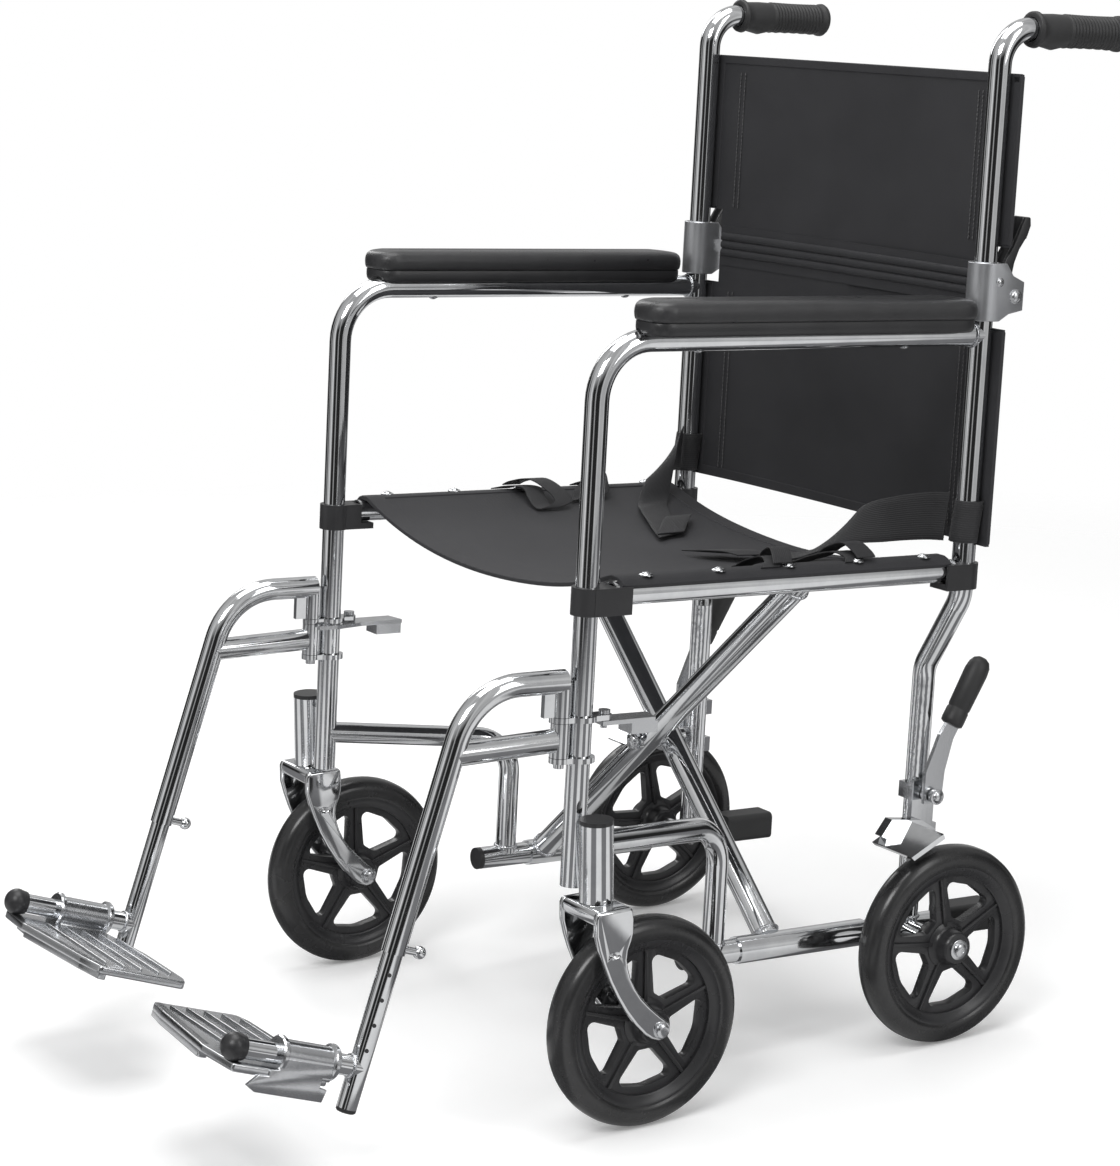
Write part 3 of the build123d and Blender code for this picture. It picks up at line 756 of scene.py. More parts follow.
def rim_shape():
    ring = [
        (13.2, 81.0), (13.2, 78.2), (11.8, 76.6), (11.0, 73.4), (9.0, 72.2), (8.4, 70.6), (-8.4, 70.6),
        (-9.0, 72.2), (-11.0, 73.4), (-11.8, 76.6), (-13.2, 78.2), (-13.2, 81.0), (-10.0, 82.0),
        (10.0, 82.0),
    ]
    parts = [turned("rim_ring", mm(ring), "X", 96, 50)]
    disc = turned(
        "rim_disc",
        mm(((5.4, 10.0), (5.4, 73.0), (-5.4, 73.0), (-5.4, 10.0))),
        "X", 120, 40,
    )
    count = sizes().spokes
    middle = math.pi / count
    tools = []
    for n in range(count):
        aim = 2 * math.pi * (n + 0.5) / count + math.pi / 2
        corners = []
        for radius, half in ((28.0, 9.6), (66.5, 6.9)):
            corners.append((radius, middle - math.asin(half / radius)))
        (r0, a0), (r1, a1) = corners
        outline = [(r0, -a0), (r1, -a1), (64.0, 0.0), (r1, a1), (r0, a0)]
        flat = [(r * math.cos(a + aim) * MM, r * math.sin(a + aim) * MM) for r, a in outline]
        tool = cutout("window", rounded(flat, [4.2 * MM, 6.0 * MM, 30 * MM, 6.0 * MM, 4.2 * MM]), 30 * MM)
        tool.data.transform(Matrix.Translation((-15 * MM, 0, 0)))
        tools.append(tool)
    cut_away(disc, tools)
    bevelled(disc, 1.3 * MM, 2, 50)
    parts.append(smooth(disc, 45))
    for n in range(count):
        turn = Matrix.Rotation(2 * math.pi * n / count, 4, "X")
        for side in (-1, 1):
            rib = cutout(
                "spoke_rib",
                rounded(
                    [(-2.2 * MM, 17 * MM), (2.2 * MM, 17 * MM), (1.7 * MM, 71 * MM), (-1.7 * MM, 71 * MM)],
                    1.0 * MM, 2,
                ),
                3.0 * MM, "YZ", 0.8 * MM, 2,
            )
            rib.data.transform(turn @ Matrix.Translation((side * 6.4 * MM - 1.5 * MM, 0, 0)))
            parts.append(rib)
    hub = [
        (24.0, 4.3), (24.0, 14.6), (22.4, 16.2), (19.5, 16.8), (12.0, 17.4), (8.0, 19.6), (6.4, 23.5),
        (-6.4, 23.5), (-8.0, 19.6), (-12.0, 17.4), (-19.5, 16.8), (-22.4, 16.2), (-24.0, 14.6),
        (-24.0, 4.3),
    ]
    parts.append(turned("hub", mm(hub), "X", 64, 40))
    return join("rim", parts)


class CHAIR_OT_wheels(bpy.types.Operator):
    """Model one wheel and set a copy at each corner"""

    bl_idname = "chair.wheels"
    bl_label = "Wheels"

    def execute(self, context):
        tyre, rim = tyre_shape(), rim_shape()
        for side, sign in SIDES:
            for kind, body, x, y in (
                ("rear", "rear_wheel", 0.2565, 0.0), ("caster", "caster_wheel", 0.277, -0.377)
            ):
                for shape, part, slot in ((tyre, "tyre", "tyre_black"), (rim, "rim", "wheel_black")):
                    turn = Matrix.Rotation(math.radians(8 if kind == "rear" else 0), 4, "X")
                    where = PLUMB @ Matrix.Translation((sign * x, y, AXLE_Z)) @ turn
                    obj = copy_at(shape, f"{side}_{kind}_{part}_shape", where)
                    finish_piece(obj, look_for(slot), slot, f"{side}_{body}", f"{side}_{kind}_{part}")
        for shape in (tyre, rim):
            bpy.data.objects.remove(shape)
        return {"FINISHED"}


class CHAIR_OT_forks(bpy.types.Operator):
    """Model the curved caster fork, its crown and the axle nuts"""

    bl_idname = "chair.forks"
    bl_label = "Caster forks"

    def execute(self, context):
        front = [
            (-18.0, 226.0), (-20.5, 221.0), (-20.5, 204.0), (-17.0, 190.0), (-12.4, 176.0), (-5.5, 158.5),
            (2.8, 142.0), (12.0, 126.5), (23.0, 111.5), (33.0, 100.5), (41.0, 94.5),
        ]
        end = [
            (51 + 10.6 * math.cos(math.radians(a)), 101.6 + 10.6 * math.sin(math.radians(a)))
            for a in (-128, -100, -72, -44, -16, 12, 34)
        ]
        rear = [
            (50.5, 115.5), (38.5, 127.0), (29.5, 137.0), (22.6, 147.5), (17.5, 158.0), (14.6, 168.0),
            (13.4, 177.0), (14.6, 185.5), (18.0, 193.0), (20.4, 201.0), (20.8, 214.0), (20.0, 222.0),
            (18.0, 226.0),
        ]
        outline = mm(front + end + rear)
        parts = []
        for side in (-1, 1):
            blade = cutout("blade", outline, 7.4 * MM, "YZ", 2.6 * MM, 4)
            start = 25.0 * MM if side > 0 else -32.4 * MM
            blade.data.transform(Matrix.Translation((start, 0, 0)))
            dimple = ball("dimple", (side * 33.4 * MM, -1.0 * MM, 183 * MM), 6.2 * MM, (0.5, 1.1, 0.62))
            cut_away(blade, [dimple])
            parts.append(smooth(blade, 55))
        crown = slab(
            "crown", (-32.2 * MM, -19.5 * MM, 211 * MM), (32.2 * MM, 20 * MM, 226 * MM), 5.2 * MM, 5
        )
        parts.append(crown)
        seat = turned(
            "seat",
            mm(((223, 0.5), (223, 18), (226.2, 16.2), (227.4, 13.5), (227.6, 0.5))),
            "Z", 48,
        )
        parts.append(seat)
        fork = join("fork", parts)
        place(fork, PLUMB @ Matrix.Translation((0.277, -0.428, 0)))
        # The stem turns inside the housing.
        stem = rod("stem", (0.277, -0.428, 0.224), (0.277, -0.428, 0.286), 7.9 * MM)
        stem.data.transform(PLUMB)
        fork = join("fork", [fork, stem])
        both_sides(fork, "fork_shape", look_for("chrome"), "chrome", "caster", "caster_fork")
        nuts = [rod("pin", (-32 * MM, 0, 0), (32 * MM, 0, 0), 3.9 * MM)]
        for side in (-1, 1):
            nuts.append(
                turned(
                    "nut",
                    [
                        (side * x * MM, r * MM)
                        for x, r in (
                            (31, 0.2), (31, 8.4), (33.2, 8.4), (33.6, 6.9), (36.0, 6.6), (37.1, 5.2),
                            (37.5, 3.0), (37.5, 0.2),
                        )
                    ],
                    "X", 40,
                )
            )
        nut = join("nuts", nuts)
        place(nut, PLUMB @ Matrix.Translation((0.277, -0.377, AXLE_Z)))
        both_sides(nut, "caster_nuts", look_for("fastener"), "fastener", "caster", "caster_axle")
        return {"FINISHED"}


# ---------------------------------------------------------------- cloth
def back_line(x, z, bow):
    """Where the back cloth runs: it bows to the rear between the canes."""
    t = min(1.0, abs(x) / POST_X)
    y = 0.0182 + bow * (1 - t**2.4)
    wave = noise.noise(Vector((x * 7.0, z * 9.0, 3.1))) * 0.0016
    return y + wave * (1 - t**6)


class CHAIR_OT_back(bpy.types.Operator):
    """Hang the upper and lower back cloth, the sewn band at the hinges and the stitching"""

    bl_idname = "chair.back_cloth"
    bl_label = "Back cloth"

    def panel(self, name, low, high, notch_low, notch_high):
        thick = sizes().cloth_thickness
        bow = sizes().back_bow

        def where(u, v):
            x = -0.258 + 0.516 * u
            z = low + (high - low) * v
            inside = max(0.0, 1 - (abs(x) / 0.24) ** 2)
            if high > 0.9:
                z -= 0.006 * inside * v**3
            else:
                z += 0.004 * inside * (1 - v) ** 3
            return Vector((x, back_line(x, z, bow), z))

        obj = grid_cloth(name, 120, 64, where, thick)
        tools = []
        for side in (-1, 1):
            tool = slab(
                "notch",
                (side * POST_X - 0.0200, -0.02, notch_low),
                (side * POST_X + 0.0200, 0.06, notch_high),
            )
            tools.append(tool)
        cut_away(obj, tools)
        return smooth(obj, 50)

    def hem(self, name, x0, x1, z0, z1, bow, steps=60):
        """A doubled edge that stands a little proud of the cloth."""

        def where(u, v):
            x, z = x0 + (x1 - x0) * u, z0 + (z1 - z0) * v
            return Vector((x, back_line(x, z, bow), z))

        obj = grid_cloth(name, max(4, int(steps)), 4, where, 0.0042)
        return bevelled(obj, 0.0010, 3, 50)

    def stitches(self, name, columns, low, high, bow):
        """Rows of thread down the cloth, one small stitch copied along each row."""
        parts = []
        for x in columns:
            for face in (-1, 1):
                y = back_line(x, low, bow) + face * (0.0026 if face < 0 else 0.0024)
                clear_selection()
                bpy.ops.mesh.primitive_uv_sphere_add(
                    segments=6, ring_count=4, radius=0.0008, location=(x, y, low)
                )
                stitch = named("stitch")
                stitch.scale = (0.9, 0.8, 2.6)
                apply_place(stitch)
                rows = stitch.modifiers.new("row", "ARRAY")
                rows.use_relative_offset = False
                rows.use_constant_offset = True
                rows.constant_offset_displace = (0, 0, 0.0044)
                rows.count = int((high - low) / 0.0044)
                parts.append(apply_modifiers(stitch))
        return smooth(join(name, parts), 80)

    def execute(self, context):
        bow = sizes().back_bow
        nylon, thread = look_for("black_nylon"), look_for("thread")
        upper = self.panel("upper", 0.762, 0.960, 0.75, 0.795)
        hems = [
            self.hem("top_hem", -0.256, 0.256, 0.9515, 0.9605, bow),
            self.hem("side_hem", 0.228, 0.2585, 0.797, 0.9585, bow, 5),
            self.hem("side_hem", -0.2585, -0.228, 0.797, 0.9585, bow, 5),
        ]
        upper = join("upper", [upper, *hems])
        upper_rows = self.stitches(
            "upper_rows", (0.2000, 0.1930, -0.2000, -0.1930), 0.80, 0.948, bow
        )
        lower = self.panel("lower", 0.503, 0.748, 0.716, 0.76)
        hems = [
            self.hem("bottom_hem", -0.256, 0.256, 0.5025, 0.513, bow),
            self.hem("side_hem", 0.228, 0.2585, 0.505, 0.714, bow, 5),
            self.hem("side_hem", -0.2585, -0.228, 0.505, 0.714, bow, 5),
        ]
        lower = join("lower", [lower, *hems])
        lower_rows = self.stitches("lower_rows", (0.2000, 0.1930, -0.2000, -0.1930), 0.516, 0.712, bow)
        for obj, name, body, node, material, slot in (
            (upper, "back_upper_cloth", "left_back", "back_upper", nylon, "black_nylon"),
            (upper_rows, "back_upper_stitching", "left_back", None, thread, "black_nylon"),
            (lower, "back_lower_cloth", "left_side", "back_lower", nylon, "black_nylon"),
            (lower_rows, "back_lower_stitching", "left_side", None, thread, "black_nylon"),
        ):
            place(obj, LEANED)
            obj.name = name
            obj.data.name = name
            finish_piece(obj, material, slot, body, *([node] if node else []))
            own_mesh(obj)
        self.band(bow, nylon)
        return {"FINISHED"}

    def band(self, bow, nylon):
        """Three padded welts at the hinges, in two halves, one from each side, set one a little in front of
        the other.
        """
        for side, sign in SIDES:
            front = -0.0034 if sign > 0 else -0.0012

            def where(u, v):
                x = sign * 0.2155 * u
                z = 0.735 + 0.043 * v
                bulge = 0.0
                for centre in (0.749, 0.7575, 0.766):
                    bulge = max(bulge, 1 - ((z - centre) / 0.0036) ** 2)
                return Vector((x, back_line(x, z, bow) + front - 0.0026 * max(0.0, bulge) ** 0.5, z))

            obj = grid_cloth(f"{side}_hinge_band", 40, 86, where, 0.0016)
            place(obj, LEANED)
            obj.data.materials.append(nylon)
            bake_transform(obj)


def seat_height(x, y):
    """The sling's surface: it hangs between the rails and turns down over them."""
    half = 0.2285
    sag = sizes().seat_sag
    t = min(1.0, abs(x) / half)
    z = 0.4914 - sag * (1 - t**2)
    if abs(x) > 0.2385:
        over = abs(x) - 0.2385
        z -= over**2 * 46
    front = max(0.0, (-0.36 - y) / 0.05)
    z -= 0.004 * front * (1 - t**4)
    z += noise.noise(Vector((x * 6.0, y * 6.0, 1.7))) * 0.0022 * (1 - t**6)
    return z


def bend_with_seat(obj):
    """Bakes the cloth's placement into its mesh."""
    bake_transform(obj)


class CHAIR_OT_seat(bpy.types.Operator):
    """Hang the seat sling over its rails, with the hem, screws and the small tie loops"""

    bl_idname = "chair.seat_cloth"
    bl_label = "Seat cloth"

    def execute(self, context):
        nylon = look_for("black_nylon")

        def where(u, v):
            x = -0.2505 + 0.501 * u
            y = -0.405 + 0.385 * v
            return Vector((x, y, seat_height(x, y)))

        def hem(u, v):
            x = -0.2500 + 0.5 * u
            y = -0.4055 + 0.020 * v
            return Vector((x, y, seat_height(x, y)))

        def back_hem(u, v):
            x = -0.2500 + 0.5 * u
            y = -0.040 + 0.020 * v
            return Vector((x, y, seat_height(x, y)))

        def edge(sign):
            def path(u, v):
                x = sign * (0.2255 + 0.0250 * u)
                y = -0.404 + 0.383 * v
                return Vector((x, y, seat_height(x, y)))

            return path

        cloth = grid_cloth("sling", 96, 72, where, sizes().cloth_thickness)
        parts = [cloth]
        for shape, nu, nv in ((hem, 96, 4), (back_hem, 96, 4), (edge(1), 6, 60), (edge(-1), 6, 60)):
            strip = grid_cloth("strip", nu, nv, shape, 0.0044)
            parts.append(bevelled(strip, 0.0012, 3, 50))
        cloth = join("seat_cloth", parts)
        place(cloth, LEANED)
        cloth.data.materials.clear()
        cloth.data.materials.append(nylon)
        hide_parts("seat_sling")
        bend_with_seat(cloth)
        self.screws()
        self.loops()
        return {"FINISHED"}

    def screws(self):
        cup = turned(
            "cup",
            mm(((-0.6, 0.2), (-0.6, 6.8), (0.5, 6.6), (1.5, 5.0), (1.1, 3.9), (1.1, 0.2))),
            "Z", 28,
        )
        head = turned(
            "head",
            mm(((0.6, 0.2), (0.6, 4.2), (1.6, 3.9), (2.5, 2.8), (2.9, 1.4), (2.95, 0.2))),
            "Z", 24,
        )
        slots = [
            slab("slot", (-2.6 * MM, -0.45 * MM, 2.0 * MM), (2.6 * MM, 0.45 * MM, 4 * MM)),
            slab("slot", (-0.45 * MM, -2.6 * MM, 2.0 * MM), (0.45 * MM, 2.6 * MM, 4 * MM)),
        ]
        cut_away(head, slots)
        screw = join("screw", [cup, head])
        for side, sign in SIDES:
            copies = []
            for n in range(5):
                y = -0.3745 + n * 0.0815
                turn = Matrix.Rotation(0.7 * n + 0.3, 4, "Z")
                copies.append(
                    copy_at(screw, "seat_screw", Matrix.Translation((sign * 0.2405, y, 0.4938)) @ turn)
                )
            row = join(f"{side}_seat_screws", copies)
            place(row, LEANED)
            finish_piece(row, look_for("fastener"), "fastener", "brace_a" if sign > 0 else "brace_b")
        bpy.data.objects.remove(screw)

    def loops(self):
        """Short strap loops held by the rail screws, lying on the seat."""
        strap = look_for("webbing")
        for side, sign in SIDES:
            made = []
            for y, reach, skew, width in (
                (-0.235, 0.070, 0.028, 0.022), (-0.135, 0.052, -0.020, 0.022)
            ):
                path = []
                rise = (0.0035, 0.0065, 0.0110, 0.0085, 0.0042, 0.0040)
                for t, up in zip((0.0, 0.18, 0.45, 0.7, 0.88, 1.0), rise):
                    x = 0.2435 - reach * t
                    py = y + skew * t + 0.010 * math.sin(t * math.pi * 1.6)
                    path.append((sign * x, py, seat_height(x, py) + up))
                back = []
                for t, up in zip((0.92, 0.7, 0.4, 0.12, 0.0), (0.0085, 0.0165, 0.0190, 0.0110, 0.0072)):
                    x = 0.2435 - reach * t
                    py = y + skew * t + 0.014 + 0.004 * math.sin(t * math.pi)
                    back.append((sign * x, py, seat_height(x, py) + up))
                whole = path + back
                made.append(ribbon("loop", whole, [(0, 1, 0)] * len(whole), width, 0.0012, 5))
            obj = join(f"{side}_tie_loops", made)
            place(obj, LEANED)
            finish_piece(obj, strap, "webbing", "brace_a" if sign > 0 else "brace_b")


class CHAIR_OT_belts(bpy.types.Operator):
    """Lay the two lap belt halves: a loop round each upright and a tail on the seat"""

    bl_idname = "chair.belts"
    bl_label = "Lap belts"

    def execute(self, context):
        strap = look_for("webbing")
        wide = sizes().belt_width
        for side, sign in SIDES:
            ring = []
            for n in range(13):
                a = 2 * math.pi * n / 12 + 0.5
                ring.append((sign * (POST_X + 0.0135 * math.cos(a)), 0.004 + 0.0135 * math.sin(a), 0.527))
            loop = ribbon("collar", ring, [(0, 0.12, 1)] * len(ring), wide * 0.86, 0.0014, 3)
            place(loop, LEANED)
            loop.name = f"{side}_belt_collar"
            loop.data.name = loop.name
            finish_piece(loop, strap, "webbing", f"{side}_side")
            if sign > 0:
                rows = (
                    ((0.2285, -0.012, 0.5300), (0.0, 0.1, 1)),
                    ((0.2050, -0.018, 0.5270), (0.0, 0.15, 1)),
                    ((0.1700, -0.032, 0.5190), (0.0, 0.3, 1)),
                    ((0.1300, -0.052, 0.5060), (0.05, 0.6, 0.9)),
                    ((0.0950, -0.075, 0.0), (0.2, 1, 0.35)),
                    ((0.0600, -0.100, 0.0), (0.4, 1, 0.0)),
                    ((0.0350, -0.125, 0.0), (0.6, 1, 0.0)),
                    ((0.0200, -0.150, 0.0), (0.7, 1, 0.0)),
                )
            else:
                rows = (
                    ((0.2270, -0.012, 0.5330), (0.1, 0.1, 1)),
                    ((0.2140, -0.034, 0.5290), (0.15, 0.6, 1)),
                    ((0.1980, -0.058, 0.5160), (0.1, 1, 0.6)),
                    ((0.1800, -0.078, 0.0), (0.2, 1, 0.12)),
                    ((0.1560, -0.094, 0.0), (0.35, 1, 0.0)),
                    ((0.1250, -0.108, 0.0), (0.45, 1, 0.0)),
                    ((0.0900, -0.124, 0.0), (0.5, 1, 0.0)),
                    ((0.0650, -0.134, 0.0), (0.5, 1, 0.0)),
                )
            path, across = [], []
            for (x, y, z), (ax, ay, az) in rows:
                height = z or seat_height(x, y) + 0.0062 + 0.012 * az
                path.append((sign * x, y, height))
                across.append((sign * ax, ay, az))
            tail = ribbon("tail", path, across, wide, 0.0015, 8)
            fold = []
            fold_across = []
            for t, up in ((0.0, 0.0078), (0.3, 0.0100), (0.7, 0.0112), (1.0, 0.0086)):
                x0, y0 = path[-1][0], path[-1][1]
                x = x0 + sign * 0.058 * t
                y = y0 + (0.020 if sign > 0 else 0.050) * t
                fold.append((x, y, seat_height(x, y) + up))
                fold_across.append((sign * 0.15, 1, 0))
            over = ribbon("over", fold, fold_across, wide * 0.8, 0.0015, 6)
            obj = join(f"{side}_belt_tail", [tail, over])
            place(obj, LEANED)
            obj.data.materials.clear()
            obj.data.materials.append(strap)
            bend_with_seat(obj)
            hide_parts(f"{side}_seat_belt")
        return {"FINISHED"}


# ---------------------------------------------------------------- arms and handles
class CHAIR_OT_arm_pads(bpy.types.Operator):
    """Model the crowned vinyl arm pad over its moulded base"""

    bl_idname = "chair.arm_pads"
    bl_label = "Arm pads"

    def stadium(self, half_width, half_length, count, power=2.6):
        points = []
        straight = half_length - half_width
        for n in range(count):
            a = 2 * math.pi * n / count
            c, s = math.cos(a), math.sin(a)
            x = half_width * math.copysign(abs(c) ** (2 / power), c)
            y = half_width * math.copysign(abs(s) ** (2 / power), s) + math.copysign(straight, s)
            points.append((x, y))
        return points

    def layered(self, name, layers, count=96):
        """Rings of the pad's outline, each set in and raised, bridged from bottom to top."""
        vertices, faces = [], []
        for half_width, half_length, z, crown in layers:
            for x, y in self.stadium(half_width, half_length, count):
                end = max(0.0, (abs(y) - half_length * 0.7) / (half_length * 0.3))
                vertices.append((x, y, z - crown * end**2))
        rows = len(layers)
        for r in range(rows - 1):
            for n in range(count):
                a, b = r * count + n, r * count + (n + 1) % count
                faces.append((a, b, b + count, a + count))
        faces.append(tuple(reversed(range(count))))
        faces.append(tuple(range((rows - 1) * count, rows * count)))
        mesh = bpy.data.meshes.new(name)
        mesh.from_pydata(vertices, [], faces)
        obj = bpy.data.objects.new(name, mesh)
        bpy.context.scene.collection.objects.link(obj)
        outwards(obj)
        return smooth(obj, 60)

    def execute(self, context):
        low, high = 0.728, 0.7497
        pad_layers = [
            (0.0238, 0.1878, low, 0.0), (0.0254, 0.1894, low + 0.0008, 0.0),
            (0.0261, 0.1901, low + 0.0030, 0.0), (0.0265, 0.1905, low + 0.0065, 0.0),
            (0.0264, 0.1904, low + 0.0100, 0.0), (0.0258, 0.1898, low + 0.0130, 0.0002),
            (0.0246, 0.1886, low + 0.0157, 0.0005), (0.0228, 0.1868, low + 0.0178, 0.0009),
            (0.0204, 0.1844, low + 0.0193, 0.0013), (0.0174, 0.1814, low + 0.0203, 0.0017),
            (0.0135, 0.1775, high - 0.0008, 0.0020), (0.0090, 0.1730, high - 0.0003, 0.0022),
            (0.0045, 0.1685, high, 0.0023),
        ]
        pad = self.layered("pad", pad_layers)
        base_layers = [
            (0.0190, 0.1830, 0.7150, 0.0), (0.0222, 0.1862, 0.7156, 0.0), (0.0240, 0.1880, 0.7180, 0.0),
            (0.0246, 0.1886, 0.7215, 0.0), (0.0246, 0.1886, 0.7268, 0.0), (0.0240, 0.1880, 0.7279, 0.0),
        ]
        base = self.layered("base", base_layers)
        groove = rod("groove", (-0.0095, -0.25, 0.71), (-0.0095, 0.25, 0.71), 0.0111)
        cut_away(base, [groove])
        for obj, name, slot, node in (
            (pad, "arm_cushion", "black_vinyl", "arm_pad"), (base, "arm_tray", "black_plastic", "arm_base")
        ):
            place(obj, LEANED @ Matrix.Translation((0.249, -0.21075, 0)))
            made = both_sides(obj, name, look_for(slot), slot, "side", node)
            slot == "black_vinyl"
        screw_low = []
        for y in (-0.33, -0.09):
            screw_low.append(ball("arm_screw", (POST_X, y, 0.6992), 0.0042, (1, 1, 0.55), 16))
            screw_low.append(
                rod("washer", (POST_X, y, 0.6990), (POST_X, y, 0.6998), 0.0052, 24)
            )
        screws = join("arm_screws", screw_low)
        place(screws, LEANED)
        both_sides(screws, "arm_screws", look_for("fastener"), "fastener", "side")
        return {"FINISHED"}


class CHAIR_OT_grips(bpy.types.Operator):
    """Model the ribbed push grips, the release levers and the brake grip"""

    bl_idname = "chair.grips"
    bl_label = "Grips and levers"

    def execute(self, context):
        rubber, plastic = look_for("grip_rubber"), look_for("black_plastic")
        start, end = 0.0395, 0.1540
        outer = [
            (start, 0.0119), (start, 0.0158), (start + 0.0012, 0.0172), (start + 0.0045, 0.0174),
            (start + 0.0060, 0.0162), (start + 0.0085, 0.0150), (start + 0.0140, 0.0152),
            (start + 0.0260, 0.0157), (start + 0.0380, 0.0155),
        ]
        ribs = 15
        first, pitch = start + 0.0410, 0.0042
        for n in range(ribs):
            y = first + n * pitch
            lift = 0.0154 - 0.0004 * math.sin(n / (ribs - 1) * math.pi)
            crest = lift + 0.0008
            outer += [(y, lift), (y + 0.0010, crest), (y + 0.0024, crest), (y + 0.0034, lift)]
        outer += [
            (end - 0.0085, 0.0156), (end - 0.0060, 0.0171), (end - 0.0030, 0.0174), (end - 0.0008, 0.0162),
            (end, 0.0140), (end + 0.0003, 0.0080), (end + 0.0003, 0.0003),
        ]
        inner = [(end - 0.008, 0.0003), (end - 0.008, 0.0112), (start + 0.001, 0.0112)]
        grip = turned("grip", outer + inner, "Y", 56, 50)
        for vertex in grip.data.vertices:
            co = vertex.co
            radius = math.hypot(co.x, co.z)
            if radius > 0.0145:
                down = max(0.0, -co.z / radius)
                swell = math.exp(-(((co.y - start - 0.024) / 0.010) ** 2)) * 0.0030
                flute = 0.0006 * math.sin((co.y - start) / 0.0115 * math.pi) ** 2
                amount = down**1.5 * (swell + flute)
                co.x *= 1 + amount / radius
                co.z *= 1 + amount / radius
        place(grip, LEANED @ Matrix.Translation((POST_X, 0, 1.003)))
        both_sides(grip, "push_grip", rubber, "grip_rubber", "back", "hand_grip")

        paddle = [
            (18.0, 764.0), (30.0, 763.0), (33.0, 780.0), (38.0, 793.0), (47.0, 806.0), (50.5, 816.0),
            (49.5, 824.0), (43.5, 824.5), (38.0, 812.0), (31.0, 797.0), (23.0, 784.0), (18.5, 774.0),
        ]
        outline = rounded(mm(paddle), 1.6 * MM, 2)
        cheeks = []
        for x in (-9.3, 4.4):
            cheek = cutout("cheek", outline, 4.9 * MM, "YZ", 1.4 * MM, 3)
            cheek.data.transform(Matrix.Translation((x * MM, 0, 0)))
            cheeks.append(cheek)
        web = [(34.0, 797.0), (47.0, 806.0), (50.2, 816.0), (49.2, 824.0), (43.8, 824.5), (39.0, 812.0)]
        middle = cutout(
            "thumb", rounded(mm(web), 1.4 * MM, 2), 18.4 * MM, "YZ", 1.6 * MM, 3
        )
        middle.data.transform(Matrix.Translation((-9.2 * MM, 0, 0)))
        cheeks.append(middle)
        for n in range(4):
            bar = rod(
                "ridge", (-7.6 * MM, (45.9 + n * 1.0) * MM, (804.5 + n * 4.6) * MM),
                (7.6 * MM, (45.9 + n * 1.0) * MM, (804.5 + n * 4.6) * MM), 1.5 * MM, 12,
            )
            cheeks.append(bar)
        lever = join("lever", cheeks)
        place(lever, LEANED @ Matrix.Translation((POST_X, 0, 0)))
        both_sides(lever, "release_paddle", plastic, "black_plastic", "release", "release_lever")

        arc = [(-180 + n * 15) for n in range(13)]
        outer = [(16.6 * math.cos(math.radians(a)), 4 + 16.6 * math.sin(math.radians(a))) for a in arc]
        inner = [(14.4 * math.cos(math.radians(a)), 4 + 14.4 * math.sin(math.radians(a))) for a in arc]
        plan = [(-16.6, 41.0), *outer, (16.6, 41.0), (14.4, 41.0), *reversed(inner), (-14.4, 41.0)]
        clip = cutout("clip", mm(plan), 56.0 * MM, "XY")
        clip.data.transform(Matrix.Translation((0, 0, 724.0 * MM)))
        tools = []
        for outline in (
            [(9.0, 700.0), (60.0, 700.0), (60.0, 735.0), (44.0, 735.0), (24.0, 731.0), (9.0, 722.0)],
            [(14.0, 800.0), (60.0, 800.0), (60.0, 762.0), (41.0, 762.0), (27.0, 768.0), (14.0, 785.0)],
        ):
            tool = cutout("trim", mm(outline), 60.0 * MM)
            tool.data.transform(Matrix.Translation((-30.0 * MM, 0, 0)))
            tools.append(tool)
        cut_away(clip, tools)
        bevelled(clip, 0.6 * MM, 2, 40)
        sleeve = turned(
            "sleeve",
            mm(((726, 11.4), (726, 14.3), (738, 14.3), (738, 11.4))), "Z", 40,
        )
        sleeve.data.transform(Matrix.Translation((0, 4.0 * MM, 0)))
        clip = join("clip", [clip, sleeve])
        place(clip, LEANED @ Matrix.Translation((POST_X, 0, 0)))
        both_sides(
            clip, "hinge_clip", look_for("silver_bracket"), "silver_bracket", "side", "hinge_bracket"
        )

        knob = [
            (0.0100, 0.0003), (0.0100, 0.0090), (0.0115, 0.0116), (0.0150, 0.0120), (0.0260, 0.0118),
            (0.0270, 0.0111), (0.0285, 0.0111), (0.0295, 0.0118), (0.0690, 0.0124), (0.0770, 0.0114),
            (0.0822, 0.0086), (0.0848, 0.0045), (0.0852, 0.0003),
        ]
        cap = turned("knob", knob, "Z", 40, 60)
        for vertex in cap.data.vertices:
            co = vertex.co
            co.x *= 0.94
            radius = math.hypot(co.x, co.y)
            if radius > 0.008 and 0.032 < co.z < 0.070 and co.y < 0:
                flute = 0.0005 * math.sin(co.z / 0.0095 * math.pi) ** 2
                co.y -= flute
        tilt = math.atan2(0.0345, 0.064)
        where = LEANED @ Matrix.Translation((0.2166, 0.0185, 0.306)) @ Matrix.Rotation(-tilt, 4, "X")
        place(cap, where)
        both_sides(cap, "brake_knob", rubber, "grip_rubber", "brake", "brake_grip")
        return {"FINISHED"}


